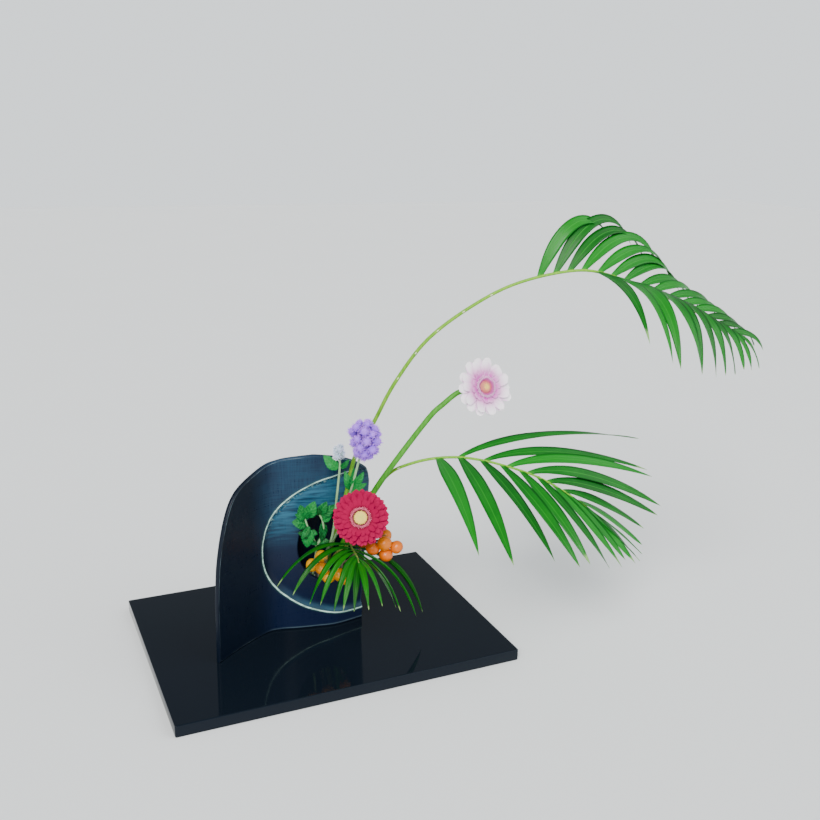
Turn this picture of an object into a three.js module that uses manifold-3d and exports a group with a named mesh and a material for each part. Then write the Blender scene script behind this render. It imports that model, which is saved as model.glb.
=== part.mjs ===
// Ikebana arrangement on a lacquered board. A black glazed vase, a curved upright slab with a
// round mouth in a shallow dish, holds palm fronds, two gerberas, floss flowers and twigs of
// small orange fruit. They stand on a needle holder in the water tank behind the slab.
// Millimetres, +Z up, the origin in the middle of the board's underside. +X runs along the
// board to the right and +Y away from the side that is looked at.

import * as THREE from 'three';
import { mergeVertices } from 'three/addons/utils/BufferGeometryUtils.js';
import Module from 'manifold-3d';

const wasm = await Module();
wasm.setup();

// Gap between pieces that touch
const GAP = 0.3;

const BOARD = { length: 435, width: 313, thick: 15, edge: 1.2 };

// The slab seen from above: points [x, y] of its front face, from its left end to its right
const PLAN = [[-140, -48], [-102, -20], [-66, 0], [-48, 1.5], [-25, -4], [0, -8.5], [25, -11.5], [64, -5]];
const SLAB_THICK = 5.5;
// The slab laid flat: [along the front face, height] from the left foot round to the right one
const SLAB_LEFT = [[-1, 0], [-1, 78], [4, 130], [18, 178], [38, 208], [75, 225.5], [112, 236], [150, 239.5]];
const SLAB_RIGHT = [[150, 239.5], [185, 234], [212, 222], [227, 209], [231, 192]];
const SLAB_FOOT = [220, 0];
const DISH = { along: 209, height: 114, halfWide: 127, halfHigh: 99, depth: 3.5, fillet: 6, back: 6 };
const MOUTH = { along: 171, height: 114, halfWide: 41, halfHigh: 50 };
const TANK = { left: 122, right: 217, top: 173, depth: 70, corner: 26, wall: 5, floor: 6, shoulder: 12 };
const BEND_STEPS = [16, 36, 50, 62, 75, 92, 115, 150, 185];

const HOLDER = { x: 21, y: 28, radius: 24.5, base: 8, pin: 11, pinRadius: 1.1, pitch: 7.2, room: 2.2 };
const WATER_HEIGHT = 50;
const STEM_HOLE = { wider: 1.25, more: 0.8 };

// Levels above the board's underside
const VASE_FOOT = BOARD.thick + GAP;
const TANK_FLOOR = VASE_FOOT + TANK.floor;
const HOLDER_FOOT = TANK_FLOOR + GAP;
const HOLDER_TOP = HOLDER_FOOT + HOLDER.base;
const STEM_FOOT = HOLDER_TOP + GAP;

// The long fronds sweep out in upright planes through SWEEP.root, turned towards the viewer
const SWEEP = { root: [25, -12], heading: -24.8 };

// Each stem: points [x, y, z] from its foot on the holder, then points [along, height, back]
// in the sweep plane, with the radius at the foot and at the end
const ARCH = {
  foot: [[20, 45, STEM_FOOT], [27, 12, 125], [31, -17, 178]],
  sweep: [[11, 203, -10], [22, 253, 2], [44, 296, 2], [69, 348, 0], [107, 403, 0], [161, 447, 0],
    [215, 476, 0], [283, 492, 0], [333, 484, 0], [392, 462, 0], [440, 440, 0], [478, 421, 0]],
  radius: [3.3, 1.1], face: [-0.3, -0.2, 1], steps: 28, seed: 11,
};
const RIGHT = {
  foot: [[33, 41, STEM_FOOT], [41, 9, 120], [45.5, -13, 157]],
  sweep: [[36, 186, 6], [52, 211, 9], [69, 231, 6], [91, 243, 2], [117, 251, 0], [149, 254, 0],
    [180, 251, 0], [211, 244, 0], [243, 234, 0], [269, 222, 0], [300, 203, 0], [325, 184, 0]],
  radius: [2.8, 1.0], face: [0.1, -0.3, 1], steps: 22, seed: 23,
};
const FRONT = {
  foot: [[15, 12, STEM_FOOT], [18, 3, 91], [23, -13, 119]],
  sweep: [[15.5, 136, -12], [20.5, 139, -29], [25, 141.5, -47], [29.5, 143, -64], [32, 144, -80]],
  radius: [2.2, 0.9], face: [0.2, -0.2, 1], steps: 12, seed: 37,
};

// Leaflets of each row, keyed [place in the row, value]: angle to the rib, angle above the
// frond's face, length, bend under its own weight, where the bend comes, half width and roll
const ARCH_FAR = {
  side: -1, count: 15, from: 0.6, to: 0.985, spread: 1, parts: 4,
  angle: [[0, 53], [0.5, 56], [1, 30]], rise: [[0, 60], [0.5, 8], [1, 10]],
  length: [[0, 158], [0.5, 148], [1, 70]], droop: [[0, 1.7], [0.5, 1.5], [1, 1.5]],
  late: [[0, 1.2], [1, 2.6]], half: [[0, 6.5], [0.6, 6.5], [1, 5]], roll: [[0, 0], [1, 0]],
};
const ARCH_NEAR = {
  side: 1, count: 11, from: 0.708, to: 0.985, spread: 1, parts: 5,
  angle: [[0, 84], [0.5, 67], [1, 50]], rise: [[0, 21], [0.5, 30], [1, 25]],
  length: [[0, 225], [0.5, 140], [1, 60]], droop: [[0, 0.9], [0.5, 4], [1, 2.4]],
  late: [[0, 2.7], [1, 2.2]], half: [[0, 6], [0.3, 8], [1, 6]], roll: [[0, 12], [1, 12]],
};
const RIGHT_FAR = {
  side: -1, count: 8, from: 0.434, to: 0.985, spread: 1.25, parts: 4,
  angle: [[0, 41], [0.5, 48], [1, 20]], rise: [[0, 34], [0.5, 58], [1, -5]],
  length: [[0, 292], [0.5, 186], [1, 118]], droop: [[0, 0.68], [0.5, 0.95], [1, 0.25]],
  late: [[0, 0.36], [1, 0.42]], half: [[0, 7.5], [1, 7]], roll: [[0, -20], [1, -20]],
};
const RIGHT_NEAR = {
  side: 1, count: 10, from: 0.352, to: 0.985, spread: 1.2, parts: 4,
  angle: [[0, 79], [0.5, 43], [1, 14]], rise: [[0, 12], [0.5, -5], [1, 5]],
  length: [[0, 208], [0.5, 146], [1, 90]], droop: [[0, 0.55], [0.5, 0.42], [1, 0.1]],
  late: [[0, 1.3], [1, 1.3]], half: [[0, 10], [1, 8]], roll: [[0, 0], [1, 0]],
};
const FRONT_LEFT = {
  side: 1, count: 7, from: 0.12, to: 0.95, spread: 1, parts: 4,
  angle: [[0, 66], [0.5, 55], [1, 10]], rise: [[0, 10], [0.5, 3], [1, 8]],
  length: [[0, 117], [0.5, 87], [1, 66]], droop: [[0, 1.44], [0.5, 2.7], [1, 1.5]],
  late: [[0, 1.16], [1, 0.7]], half: [[0, 4.2], [1, 3.8]], roll: [[0, 0], [1, 0]],
};
const FRONT_RIGHT = {
  side: -1, count: 6, from: 0.12, to: 0.95, spread: 1, parts: 4,
  angle: [[0, 84], [0.5, 34], [1, 7]], rise: [[0, -4], [0.5, -11], [1, 40]],
  length: [[0, 138], [0.5, 96], [1, 75]], droop: [[0, 2.8], [0.5, 1.56], [1, 1.57]],
  late: [[0, 1.87], [1, 1.3]], half: [[0, 4.4], [1, 3.8]], roll: [[0, -40], [1, -20]],
};
const LEAFLET = { fineSteps: 20, thick: 1.4, fold: 0.16, base: 0.35, peak: 0.33, jitter: 0.05 };

// Blooms: the middle of the flower, the way it faces and its stem
const RED = {
  centre: [33, -71, 190], face: [-0.36, -0.82, 0.44], radius: 35, petals: 19,
  stem: [[27, 19, STEM_FOOT], [30.5, 0, 108], [34, -23, 149], [35, -45, 171]], stemRadius: [3.2, 2.8],
};
const PINK = {
  centre: [185, -91, 347], face: [0.06, -0.92, 0.38], radius: 39.5, petals: 15,
  stem: [[38, 28, STEM_FOOT], [41, 1, 118], [46, -24, 165], [64.7, -39.1, 210], [86.3, -50.3, 249],
    [125, -63, 306], [141, -68, 323], [159, -71, 337], [175, -75, 342]],
  stemRadius: [4, 3.2],
};
// Petals: the share of the ring between neighbours that one fills, and its outline as shares of
// length and width
const PETAL = {
  thick: 1, root: 9.5, cup: 2.5, layerRise: 1.7, fill: 0.78, fold: 0.1,
  shares: [0, 0.72, 0.94, 1], widths: [0.3, 1, 0.84, 0],
};
const DISC = { radius: 8.2, height: 4.2, ridge: 0.45 };
const RECEPTACLE = { radius: 11, thick: 3 };
const CALYX = { radius: 8.5, length: 13 };

// Floss flowers: fluffy balls round a core, on a stem with small leaves
const FLOSS = {
  centre: [42, -59, 286], half: [15, 14, 23], balls: 10, ball: 7.6, spike: 1.32,
  stem: [[16, 40, STEM_FOOT], [21, 10, 112], [27, -22, 165], [31, -42, 215], [37, -55, 262]],
  stemRadius: [1.9, 1.5],
};
const BUDS = {
  centre: [15, -41, 267], half: [5, 4, 7], balls: 5, ball: 4.6, spike: 1.25,
  stem: [[9, 33, STEM_FOOT], [13, 6, 105], [14.5, -22, 151], [14, -38, 208], [16, -43, 250],
    [15.5, -41.5, 257.4]],
  stemRadius: [1.9, 1.3],
};
// Leaves: the base, the tip, the half width and a direction that the upper face looks to
const FLOSS_LEAVES = [
  [[31, -42, 216], [22, -44, 243], 5.5, [-0.3, -1, 0.3]],
  [[31, -42, 217], [33, -47, 247], 5, [0, -1, 0.2]],
  [[31.5, -43, 220], [45, -50, 241], 5.5, [0.2, -1, 0.4]],
  [[31, -42, 214], [48, -52, 226], 5, [0.2, -1, 0.6]],
];
const BUD_LEAVES = [
  [[14, -41, 245], [-4, -29, 266], 6, [-0.3, -1, 0.2]],
  [[16, -42, 246], [27, -46, 258], 4, [0.3, -1, 0.2]],
];
const SPRIG = {
  stem: [[1, 31, STEM_FOOT], [0, 10, 92], [-3, -9, 131], [-11, -13, 150], [-17, -14, 166], [-20, -14, 176]],
  branch: [[-3, -9, 131], [4, -14, 149], [4, -15, 166], [-2, -15, 180]],
  radius: [1.9, 1.1],
};
const SPRIG_LEAVES = [
  [[-11, -13, 150], [-29, -14, 156], 6, [-0.3, -1, 0.4]],
  [[-17, -14, 167], [-36, -12, 171], 8, [-0.3, -1, 0.4]],
  [[-19, -14, 172], [-26, -15, 194], 8, [-0.4, -1, 0.3]],
  [[-18, -14, 175], [-7, -17, 197], 8.5, [-0.1, -1, 0.2]],
  [[-2, -15, 178], [8, -19, 195], 6.5, [0.1, -1, 0.5]],
  [[1, -15, 174], [19, -20, 190], 6.5, [0.2, -1, 0.6]],
  [[4, -14, 166], [2, -14, 138], 6.5, [0.2, -1, -0.1]],
  [[-15, -14, 160], [-17, -14, 134], 8, [-0.3, -1, 0]],
  [[-3, -10, 134], [12, -16, 140], 7, [0.1, -0.8, 1]],
];
const LEAF = { thick: 1, teeth: 3, notch: 0.16, fold: 0.14, arch: 0.1 };

// Fruit: middle and radius of each, and the twigs that carry them
const FRUIT_LEFT = [
  [-12.6, -21, 112, 8.5], [-1, -23, 123, 8.2], [-3.6, -33.5, 111, 8.5],
  [5, -33.5, 98, 8.5], [17, -42, 103, 8.5], [27, -37, 93, 8],
];
const FRUIT_RIGHT = [
  [75, -50, 151, 8.5], [68, -65, 147.5, 9.5], [83.5, -67.5, 141, 8.5],
  [55, -58, 140, 9], [70.5, -64, 131, 9], [47, -45.5, 146, 8.5],
];
const FRUIT_SIDES = [10, 7];
const TWIG_LEFT = {
  points: [[5, 16, STEM_FOOT], [7, 9, 80], [6.5, -6, 92], [5, -17, 102], [1.5, -25.1, 111.8]],
  radius: [2, 1.5],
};
const TWIG_RIGHT = {
  points: [[34, 10, STEM_FOOT], [37, 4, 92.5], [40, -8, 102], [46, -22, 119], [57, -41, 140],
    [64.8, -54.8, 148]],
  radius: [2.2, 1.5],
};

// A closed geometry as a solid whose faces point outwards
function solid(geometry) {
  const bare = geometry.clone();
  bare.deleteAttribute('normal');
  bare.deleteAttribute('uv');
  const merged = mergeVertices(bare, 1e-4);
  const vertProperties = new Float32Array(merged.attributes.position.array);
  const triVerts = new Uint32Array(merged.index.array);
  const made = new wasm.Manifold(new wasm.Mesh({ numProp: 3, vertProperties, triVerts }));
  if (made.volume() > 0) {
    return made;
  }
  return new wasm.Manifold(new wasm.Mesh({ numProp: 3, vertProperties, triVerts: triVerts.reverse() }));
}

const shape = (manifold) => {
  const mesh = manifold.getMesh();
  const geometry = new THREE.BufferGeometry();
  geometry.setAttribute('position', new THREE.BufferAttribute(new Float32Array(mesh.vertProperties), 3));
  geometry.setIndex(Array.from(mesh.triVerts));
  return geometry;
};

// The outer skin of the largest piece of the joined parts: sealed hollows are filled
function join(parts) {
  const pieces = parts.reduce((whole, part) => whole.add(part)).decompose();
  return pieces.reduce((largest, piece) => (piece.volume() > largest.volume() ? piece : largest));
}

const vector = (point) => new THREE.Vector3(...point);

const mix = (a, b, share) => a + (b - a) * share;

// Value between the keys [place, value] on either side
function keyed(keys, place) {
  let index = 0;
  while (index < keys.length - 2 && place > keys[index + 1][0]) {
    index += 1;
  }
  const [from, low] = keys[index];
  const [to, high] = keys[index + 1];
  return mix(low, high, (place - from) / (to - from));
}

// Seeded numbers from 0 to 1
function dice(seed) {
  let state = seed * 7919;
  return () => {
    state = (state * 16807) % 2147483647;
    return state / 2147483647;
  };
}

// A closed skin over rings of equal length, each a list of points, with a point at each end
function skin(rings, start, end) {
  const sides = rings[0].length;
  const points = [start, ...rings.flat(), end];
  const triangles = [];
  const at = (ring, side) => 1 + ring * sides + (side % sides);
  for (let side = 0; side < sides; side += 1) {
    triangles.push(0, at(0, side + 1), at(0, side));
    triangles.push(points.length - 1, at(rings.length - 1, side), at(rings.length - 1, side + 1));
    for (let ring = 0; ring < rings.length - 1; ring += 1) {
      triangles.push(at(ring, side), at(ring, side + 1), at(ring + 1, side + 1));
      triangles.push(at(ring, side), at(ring + 1, side + 1), at(ring + 1, side));
    }
  }
  const geometry = new THREE.BufferGeometry();
  geometry.setAttribute('position', new THREE.Float32BufferAttribute(points.flatMap((p) => p.toArray()), 3));
  geometry.setIndex(triangles);
  return geometry;
}

// Points along a smooth line through the given ones, evenly spaced
function along(points, steps) {
  const curve = new THREE.CatmullRomCurve3(points.map(vector), false, 'catmullrom', 0.5);
  curve.arcLengthDivisions = 600;
  return curve.getSpacedPoints(steps);
}

// Round stem along the points, from one radius to the other, with flat ends
function stem(line, radii, sides) {
  const rings = [];
  let across = null;
  line.forEach((point, index) => {
    const next = line[Math.min(index + 1, line.length - 1)];
    const ahead = next.clone().sub(line[Math.max(index - 1, 0)]).normalize();
    if (index === 0) {
      ahead.set(0, 0, 1);
    }
    across = across ?? new THREE.Vector3(1, 0.3, 0);
    across = across.clone().addScaledVector(ahead, -across.dot(ahead)).normalize();
    const other = new THREE.Vector3().crossVectors(ahead, across);
    const radius = mix(radii[0], radii[1], index / (line.length - 1));
    const ring = [];
    for (let side = 0; side < sides; side += 1) {
      const turn = (2 * Math.PI * side) / sides;
      const out = across.clone().multiplyScalar(Math.cos(turn)).addScaledVector(other, Math.sin(turn));
      ring.push(point.clone().addScaledVector(out, radius));
    }
    rings.push(ring);
  });
  return solid(skin(rings, line[0], line[line.length - 1]));
}

// Blade with four points round each section: left edge, ridge, right edge and keel
function blade(centres, acrosses, upwards, halves, thick, fold) {
  const rings = centres.slice(0, -1).map((centre, index) => {
    const half = halves[index];
    const lift = upwards[index].clone().multiplyScalar(half * fold);
    return [
      centre.clone().addScaledVector(acrosses[index], -half).add(lift),
      centre.clone().addScaledVector(upwards[index], -thick / 2),
      centre.clone().addScaledVector(acrosses[index], half).add(lift),
      centre.clone().addScaledVector(upwards[index], thick / 2),
    ];
  });
  return solid(skin(rings, centres[0], centres[centres.length - 1]));
}

function sweepPoint([out, height, back]) {
  const turn = THREE.MathUtils.degToRad(SWEEP.heading);
  const x = SWEEP.root[0] + out * Math.cos(turn) - back * Math.sin(turn);
  const y = SWEEP.root[1] + out * Math.sin(turn) + back * Math.cos(turn);
  return [x, y, height];
}

function ribOf(plant) {
  return along([...plant.foot, ...plant.sweep.map(sweepPoint)], 300);
}

// Place, direction, upper side and left side of the rib at a share of its sweep
function ribFrame(rib, plant, share) {
  const root = vector(sweepPoint(plant.sweep[0]));
  const first = rib.findIndex((point) => point.distanceTo(root) < 2);
  const last = rib.length - 1;
  const index = Math.round(mix(first, last, share));
  const next = rib[Math.min(index + 3, last)];
  const ahead = next.clone().sub(rib[Math.max(index - 3, 0)]).normalize();
  const up = vector(plant.face).normalize();
  up.addScaledVector(ahead, -up.dot(ahead)).normalize();
  return { point: rib[index].clone(), ahead, up, left: new THREE.Vector3().crossVectors(ahead, up) };
}

function leafletHalf(share, half) {
  if (share < LEAFLET.peak) {
    return half * mix(LEAFLET.base, 1, Math.sin((share / LEAFLET.peak) * (Math.PI / 2)));
  }
  return half * Math.cos(((share - LEAFLET.peak) / (1 - LEAFLET.peak)) * (Math.PI / 2)) ** 0.85;
}

// One leaflet: it leaves the rib at its angle and bends down under its own weight
function leaflet(frame, row, place, roll) {
  const jolt = (size) => 1 + size * (2 * roll() - 1);
  const angle = THREE.MathUtils.degToRad(keyed(row.angle, place) * jolt(LEAFLET.jitter));
  const rise = THREE.MathUtils.degToRad(keyed(row.rise, place));
  const length = keyed(row.length, place) * jolt(LEAFLET.jitter);
  const droop = keyed(row.droop, place) * jolt(LEAFLET.jitter);
  const late = keyed(row.late, place);
  const turn = THREE.MathUtils.degToRad(keyed(row.roll, place));
  const aside = frame.left.clone().multiplyScalar(row.side * Math.cos(rise));
  aside.addScaledVector(frame.up, Math.sin(rise));
  const start = frame.ahead.clone().multiplyScalar(Math.cos(angle)).addScaledVector(aside, Math.sin(angle));
  start.normalize();
  const fine = [frame.point.clone()];
  const ways = [];
  for (let step = 0; step < LEAFLET.fineSteps; step += 1) {
    const share = (step + 0.5) / LEAFLET.fineSteps;
    const way = start.clone().add(new THREE.Vector3(0, 0, -droop * share ** late)).normalize();
    ways.push(way);
    fine.push(fine[step].clone().addScaledVector(way, length / LEAFLET.fineSteps));
  }
  let across = frame.ahead.clone().addScaledVector(start, -frame.ahead.dot(start)).normalize();
  across.applyAxisAngle(start, turn);
  const stride = LEAFLET.fineSteps / row.parts;
  const centres = [];
  const acrosses = [];
  const upwards = [];
  const halves = [];
  fine.forEach((point, index) => {
    const way = ways[Math.min(index, ways.length - 1)];
    across = across.clone().addScaledVector(way, -across.dot(way)).normalize();
    if (index % stride === 0) {
      const up = new THREE.Vector3().crossVectors(across, way);
      centres.push(point);
      acrosses.push(across);
      upwards.push(up.z < 0 ? up.negate() : up);
      halves.push(leafletHalf(index / LEAFLET.fineSteps, keyed(row.half, place)));
    }
  });
  return blade(centres, acrosses, upwards, halves, LEAFLET.thick, LEAFLET.fold);
}

function frond(plant, rows) {
  const rib = ribOf(plant);
  const roll = dice(plant.seed);
  const blades = [];
  rows.forEach((row) => {
    for (let index = 0; index < row.count; index += 1) {
      const place = index / (row.count - 1);
      const share = row.from + (row.to - row.from) * place * mix(row.spread, 1, place);
      blades.push(leaflet(ribFrame(rib, plant, share), row, place, roll));
    }
  });
  const stride = (rib.length - 1) / plant.steps;
  const line = Array.from({ length: plant.steps + 1 }, (_, index) => rib[Math.round(index * stride)]);
  return join([stem(line, plant.radius, 5), ...blades]);
}

// Flower built facing +Z at the origin, then turned and moved to its place
function turned(manifold, flower) {
  const geometry = shape(manifold);
  const facing = vector(flower.face).normalize();
  geometry.applyQuaternion(new THREE.Quaternion().setFromUnitVectors(new THREE.Vector3(0, 0, 1), facing));
  geometry.translate(...flower.centre);
  return geometry;
}

function petal(turn, from, to, half, height, lift) {
  const out = new THREE.Vector3(Math.cos(turn), Math.sin(turn), 0);
  const side = new THREE.Vector3(Math.sin(turn), -Math.cos(turn), 0);
  const up = new THREE.Vector3(0, 0, 1);
  const centres = PETAL.shares.map((share) => (
    out.clone().multiplyScalar(mix(from, to, share)).setZ(height + lift * share * share)));
  const halves = PETAL.widths.map((width) => width * half);
  return blade(centres, centres.map(() => side), centres.map(() => up), halves, PETAL.thick, PETAL.fold);
}

function petals(flower) {
  const base = new THREE.CylinderGeometry(RECEPTACLE.radius, RECEPTACLE.radius, RECEPTACLE.thick, 12);
  base.rotateX(Math.PI / 2);
  const parts = [solid(base)];
  const low = -0.6;
  const layers = [[1, low, 0, PETAL.cup], [0.86, low + PETAL.layerRise, 0.5, PETAL.cup * 1.8]];
  layers.forEach(([reach, height, shift, lift]) => {
    for (let index = 0; index < flower.petals; index += 1) {
      const turn = (2 * Math.PI * (index + shift)) / flower.petals;
      const half = (Math.PI * flower.radius * reach * PETAL.fill) / flower.petals;
      parts.push(petal(turn, PETAL.root, flower.radius * reach, half, height, lift));
    }
  });
  return join(parts);
}

function disc() {
  const rings = [];
  const sides = 16;
  const steps = 4;
  for (let ring = 0; ring < steps; ring += 1) {
    const rise = (ring / steps) * (Math.PI / 2);
    const points = [];
    for (let side = 0; side < sides; side += 1) {
      const turn = (2 * Math.PI * side) / sides;
      const bump = ring === 0 ? 0 : DISC.ridge * ((side + ring) % 2 === 0 ? 1 : -1);
      const radius = DISC.radius * Math.cos(rise) + bump * 0.5;
      const height = DISC.height * Math.sin(rise) + bump;
      points.push(new THREE.Vector3(radius * Math.cos(turn), radius * Math.sin(turn), height));
    }
    rings.push(points);
  }
  const geometry = skin(rings, new THREE.Vector3(), new THREE.Vector3(0, 0, DISC.height));
  geometry.translate(0, 0, RECEPTACLE.thick / 2 + GAP);
  return solid(geometry);
}

function flowerStem(flower) {
  const facing = vector(flower.face).normalize();
  const back = vector(flower.centre).addScaledVector(facing, -(RECEPTACLE.thick / 2 + GAP + CALYX.length));
  const neck = back.clone().addScaledVector(facing, CALYX.length * 0.6);
  const points = [...flower.stem, back.toArray(), neck.toArray()];
  const line = along(points, flower.stem.length * 2);
  const profile = [[0, 0], [flower.stemRadius[1], 0], [CALYX.radius * 0.75, CALYX.length * 0.45],
    [CALYX.radius, CALYX.length * 0.8], [CALYX.radius, CALYX.length], [0, CALYX.length]];
  const cup = new THREE.LatheGeometry(profile.map(([r, h]) => new THREE.Vector2(r, h)), 12);
  cup.rotateX(Math.PI / 2);
  const turn = new THREE.Quaternion().setFromUnitVectors(new THREE.Vector3(0, 0, 1), facing);
  cup.applyQuaternion(turn);
  cup.translate(...back.toArray());
  return stem(line, flower.stemRadius, 6).add(solid(cup));
}

// Ball covered with pointed florets
function fluffyBall(centre, radius, spike) {
  const ball = new THREE.IcosahedronGeometry(radius, 0);
  const place = ball.attributes.position;
  const corners = [];
  const triangles = [];
  for (let index = 0; index < place.count; index += 3) {
    const face = [0, 1, 2].map((k) => new THREE.Vector3().fromBufferAttribute(place, index + k));
    const tip = face[0].clone().add(face[1]).add(face[2]).normalize().multiplyScalar(radius * spike);
    face.forEach((corner, k) => {
      corners.push(corner.clone(), face[(k + 1) % 3].clone(), tip.clone());
    });
  }
  corners.forEach((corner, index) => {
    corner.add(centre);
    triangles.push(index);
  });
  const geometry = new THREE.BufferGeometry();
  geometry.setAttribute('position', new THREE.Float32BufferAttribute(corners.flatMap((p) => p.toArray()), 3));
  geometry.setIndex(triangles);
  return solid(geometry);
}

// Points spread evenly over an ellipsoid by the golden angle
function spread(centre, half, count) {
  return Array.from({ length: count }, (_, index) => {
    const height = 1 - (2 * (index + 0.5)) / count;
    const round = Math.sqrt(1 - height * height);
    const turn = index * Math.PI * (3 - Math.sqrt(5));
    const way = new THREE.Vector3(round * Math.cos(turn), round * Math.sin(turn), height);
    return vector(centre).add(way.multiply(vector(half)));
  });
}

function fluffyHead(head) {
  const core = new THREE.IcosahedronGeometry(1, 0);
  core.scale(...head.half.map((size) => size * 1.02));
  core.translate(...head.centre);
  const inner = head.half.map((size) => size * 0.72);
  const places = spread(head.centre, inner, head.balls);
  const balls = places.map((point) => fluffyBall(point, head.ball, head.spike));
  return join([solid(core), ...balls]);
}

// Leaf with toothed edges, arched a little
function leaf([from, to, half, face]) {
  const start = vector(from);
  const end = vector(to);
  const way = end.clone().sub(start);
  const length = way.length();
  way.normalize();
  const up = vector(face).addScaledVector(way, -vector(face).dot(way)).normalize();
  const across = new THREE.Vector3().crossVectors(way, up);
  const parts = LEAF.teeth * 2;
  const centres = [];
  const halves = [];
  for (let index = 0; index <= parts; index += 1) {
    const share = index / parts;
    const body = Math.sin(Math.PI * share ** 0.75) ** 0.8;
    const tooth = index % 2 === 0 ? 1 - LEAF.notch : 1 + LEAF.notch;
    const rise = length * LEAF.arch * Math.sin(Math.PI * share);
    centres.push(start.clone().addScaledVector(way, length * share).addScaledVector(up, rise));
    halves.push(Math.max(half * body * tooth, 0.8));
  }
  return blade(centres, centres.map(() => across), centres.map(() => up), halves, LEAF.thick, LEAF.fold);
}

// Stems, each [points, radii, steps], with their leaves
function leafyStem(lines, leaves) {
  const stems = lines.map(([points, radii, steps]) => stem(along(points, steps), radii, 5));
  return join([...stems, ...leaves.map(leaf)]);
}

function fruitBunch(fruits) {
  return join(fruits.map(([x, y, z, radius]) => {
    const ball = new THREE.SphereGeometry(radius, ...FRUIT_SIDES);
    ball.translate(x, y, z);
    return solid(ball);
  }));
}

// Shapes of the vase are drawn flat, with X along the slab, Y back and Z up, and then bent
const planCurve = new THREE.SplineCurve(PLAN.map(([x, y]) => new THREE.Vector2(x, y)));
planCurve.arcLengthDivisions = 800;
const planLength = planCurve.getLength();

function bent(geometry) {
  const place = geometry.attributes.position;
  for (let index = 0; index < place.count; index += 1) {
    const run = place.getX(index);
    const back = place.getY(index);
    const share = Math.min(Math.max(run / planLength, 0), 1);
    const point = planCurve.getPointAt(share);
    const way = planCurve.getTangentAt(share);
    const over = run - share * planLength;
    const x = point.x + way.x * over - way.y * back;
    const y = point.y + way.y * over + way.x * back;
    place.setXYZ(index, x, y, place.getZ(index) + VASE_FOOT);
  }
  return geometry;
}

// Splits the triangles of a solid along X at the given places, so that it can be bent there
function sliced(manifold, places) {
  const mesh = manifold.getMesh();
  const points = Array.from(mesh.vertProperties);
  let triangles = Array.from(mesh.triVerts);
  places.forEach((cut) => {
    const made = new Map();
    const offset = (index) => {
      const distance = points[index * 3] - cut;
      return Math.abs(distance) < 1e-3 ? 0 : distance;
    };
    const crossing = (a, b) => {
      const key = a < b ? `${a}_${b}` : `${b}_${a}`;
      if (!made.has(key)) {
        const [low, high] = a < b ? [a, b] : [b, a];
        const share = offset(low) / (offset(low) - offset(high));
        made.set(key, points.length / 3);
        const between = (axis) => mix(points[low * 3 + axis], points[high * 3 + axis], share);
        points.push(cut, between(1), between(2));
      }
      return made.get(key);
    };
    const next = [];
    for (let index = 0; index < triangles.length; index += 3) {
      const corners = triangles.slice(index, index + 3);
      const loops = [[], []];
      corners.forEach((corner, k) => {
        const following = corners[(k + 1) % 3];
        const here = offset(corner);
        const there = offset(following);
        if (here <= 0) loops[0].push(corner);
        if (here >= 0) loops[1].push(corner);
        if (here * there < 0) {
          const middle = crossing(corner, following);
          loops[0].push(middle);
          loops[1].push(middle);
        }
      });
      loops.forEach((loop) => {
        const flat = loop.every((corner) => offset(corner) === 0);
        if (loop.length >= 3 && !flat) {
          for (let k = 1; k < loop.length - 1; k += 1) next.push(loop[0], loop[k], loop[k + 1]);
        }
      });
    }
    triangles = next;
  });
  const geometry = new THREE.BufferGeometry();
  geometry.setAttribute('position', new THREE.Float32BufferAttribute(points, 3));
  geometry.setIndex(triangles);
  return geometry;
}

// Outline drawn flat, stood up and pushed back from the front face
function standing(outline, front, depth, segments) {
  const settings = { depth, bevelEnabled: false, curveSegments: segments };
  const geometry = new THREE.ExtrudeGeometry(outline, settings);
  geometry.rotateX(Math.PI / 2);
  geometry.translate(0, front + depth, 0);
  return solid(geometry);
}

function slabOutline() {
  const outline = new THREE.Shape();
  const points = (list) => list.map(([x, y]) => new THREE.Vector2(x, y));
  outline.moveTo(...SLAB_LEFT[0]);
  outline.lineTo(...SLAB_LEFT[1]);
  outline.splineThru(points(SLAB_LEFT.slice(2)));
  outline.splineThru(points(SLAB_RIGHT.slice(1)));
  outline.lineTo(...SLAB_FOOT);
  outline.closePath();
  return outline;
}

// Turned shape about the line through the dish's middle, from points [radius, depth], widened to
// the dish's oval
function turnedBack(profile, sides) {
  const geometry = new THREE.LatheGeometry(profile.map(([r, d]) => new THREE.Vector2(r, d)), sides);
  geometry.scale(DISH.halfWide / DISH.halfHigh, 1, 1);
  geometry.translate(DISH.along, 0, DISH.height);
  return solid(geometry);
}

// Round-cornered pouch behind the slab, drawn from above and raised, with sloping shoulders
function pouch(inset, front, bottom, height) {
  const left = TANK.left + inset;
  const right = TANK.right - inset;
  const deep = TANK.depth - inset;
  const corner = TANK.corner - inset;
  const outline = new THREE.Shape();
  outline.moveTo(left, front);
  outline.lineTo(right, front);
  outline.absarc(right - corner, deep - corner, corner, 0, Math.PI / 2, false);
  outline.absarc(left + corner, deep - corner, corner, Math.PI / 2, Math.PI, false);
  const body = new THREE.ExtrudeGeometry(outline, {
    depth: height - TANK.shoulder, bevelThickness: TANK.shoulder, bevelSize: TANK.shoulder,
    bevelOffset: -TANK.shoulder, bevelSegments: 2, curveSegments: 3,
  });
  body.translate(0, 0, bottom);
  return solid(body);
}

function flatBlock(left, right, front, back, bottom, top) {
  const box = new THREE.BoxGeometry(right - left, back - front, top - bottom);
  box.translate((left + right) / 2, (front + back) / 2, (bottom + top) / 2);
  return solid(box);
}

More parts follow.
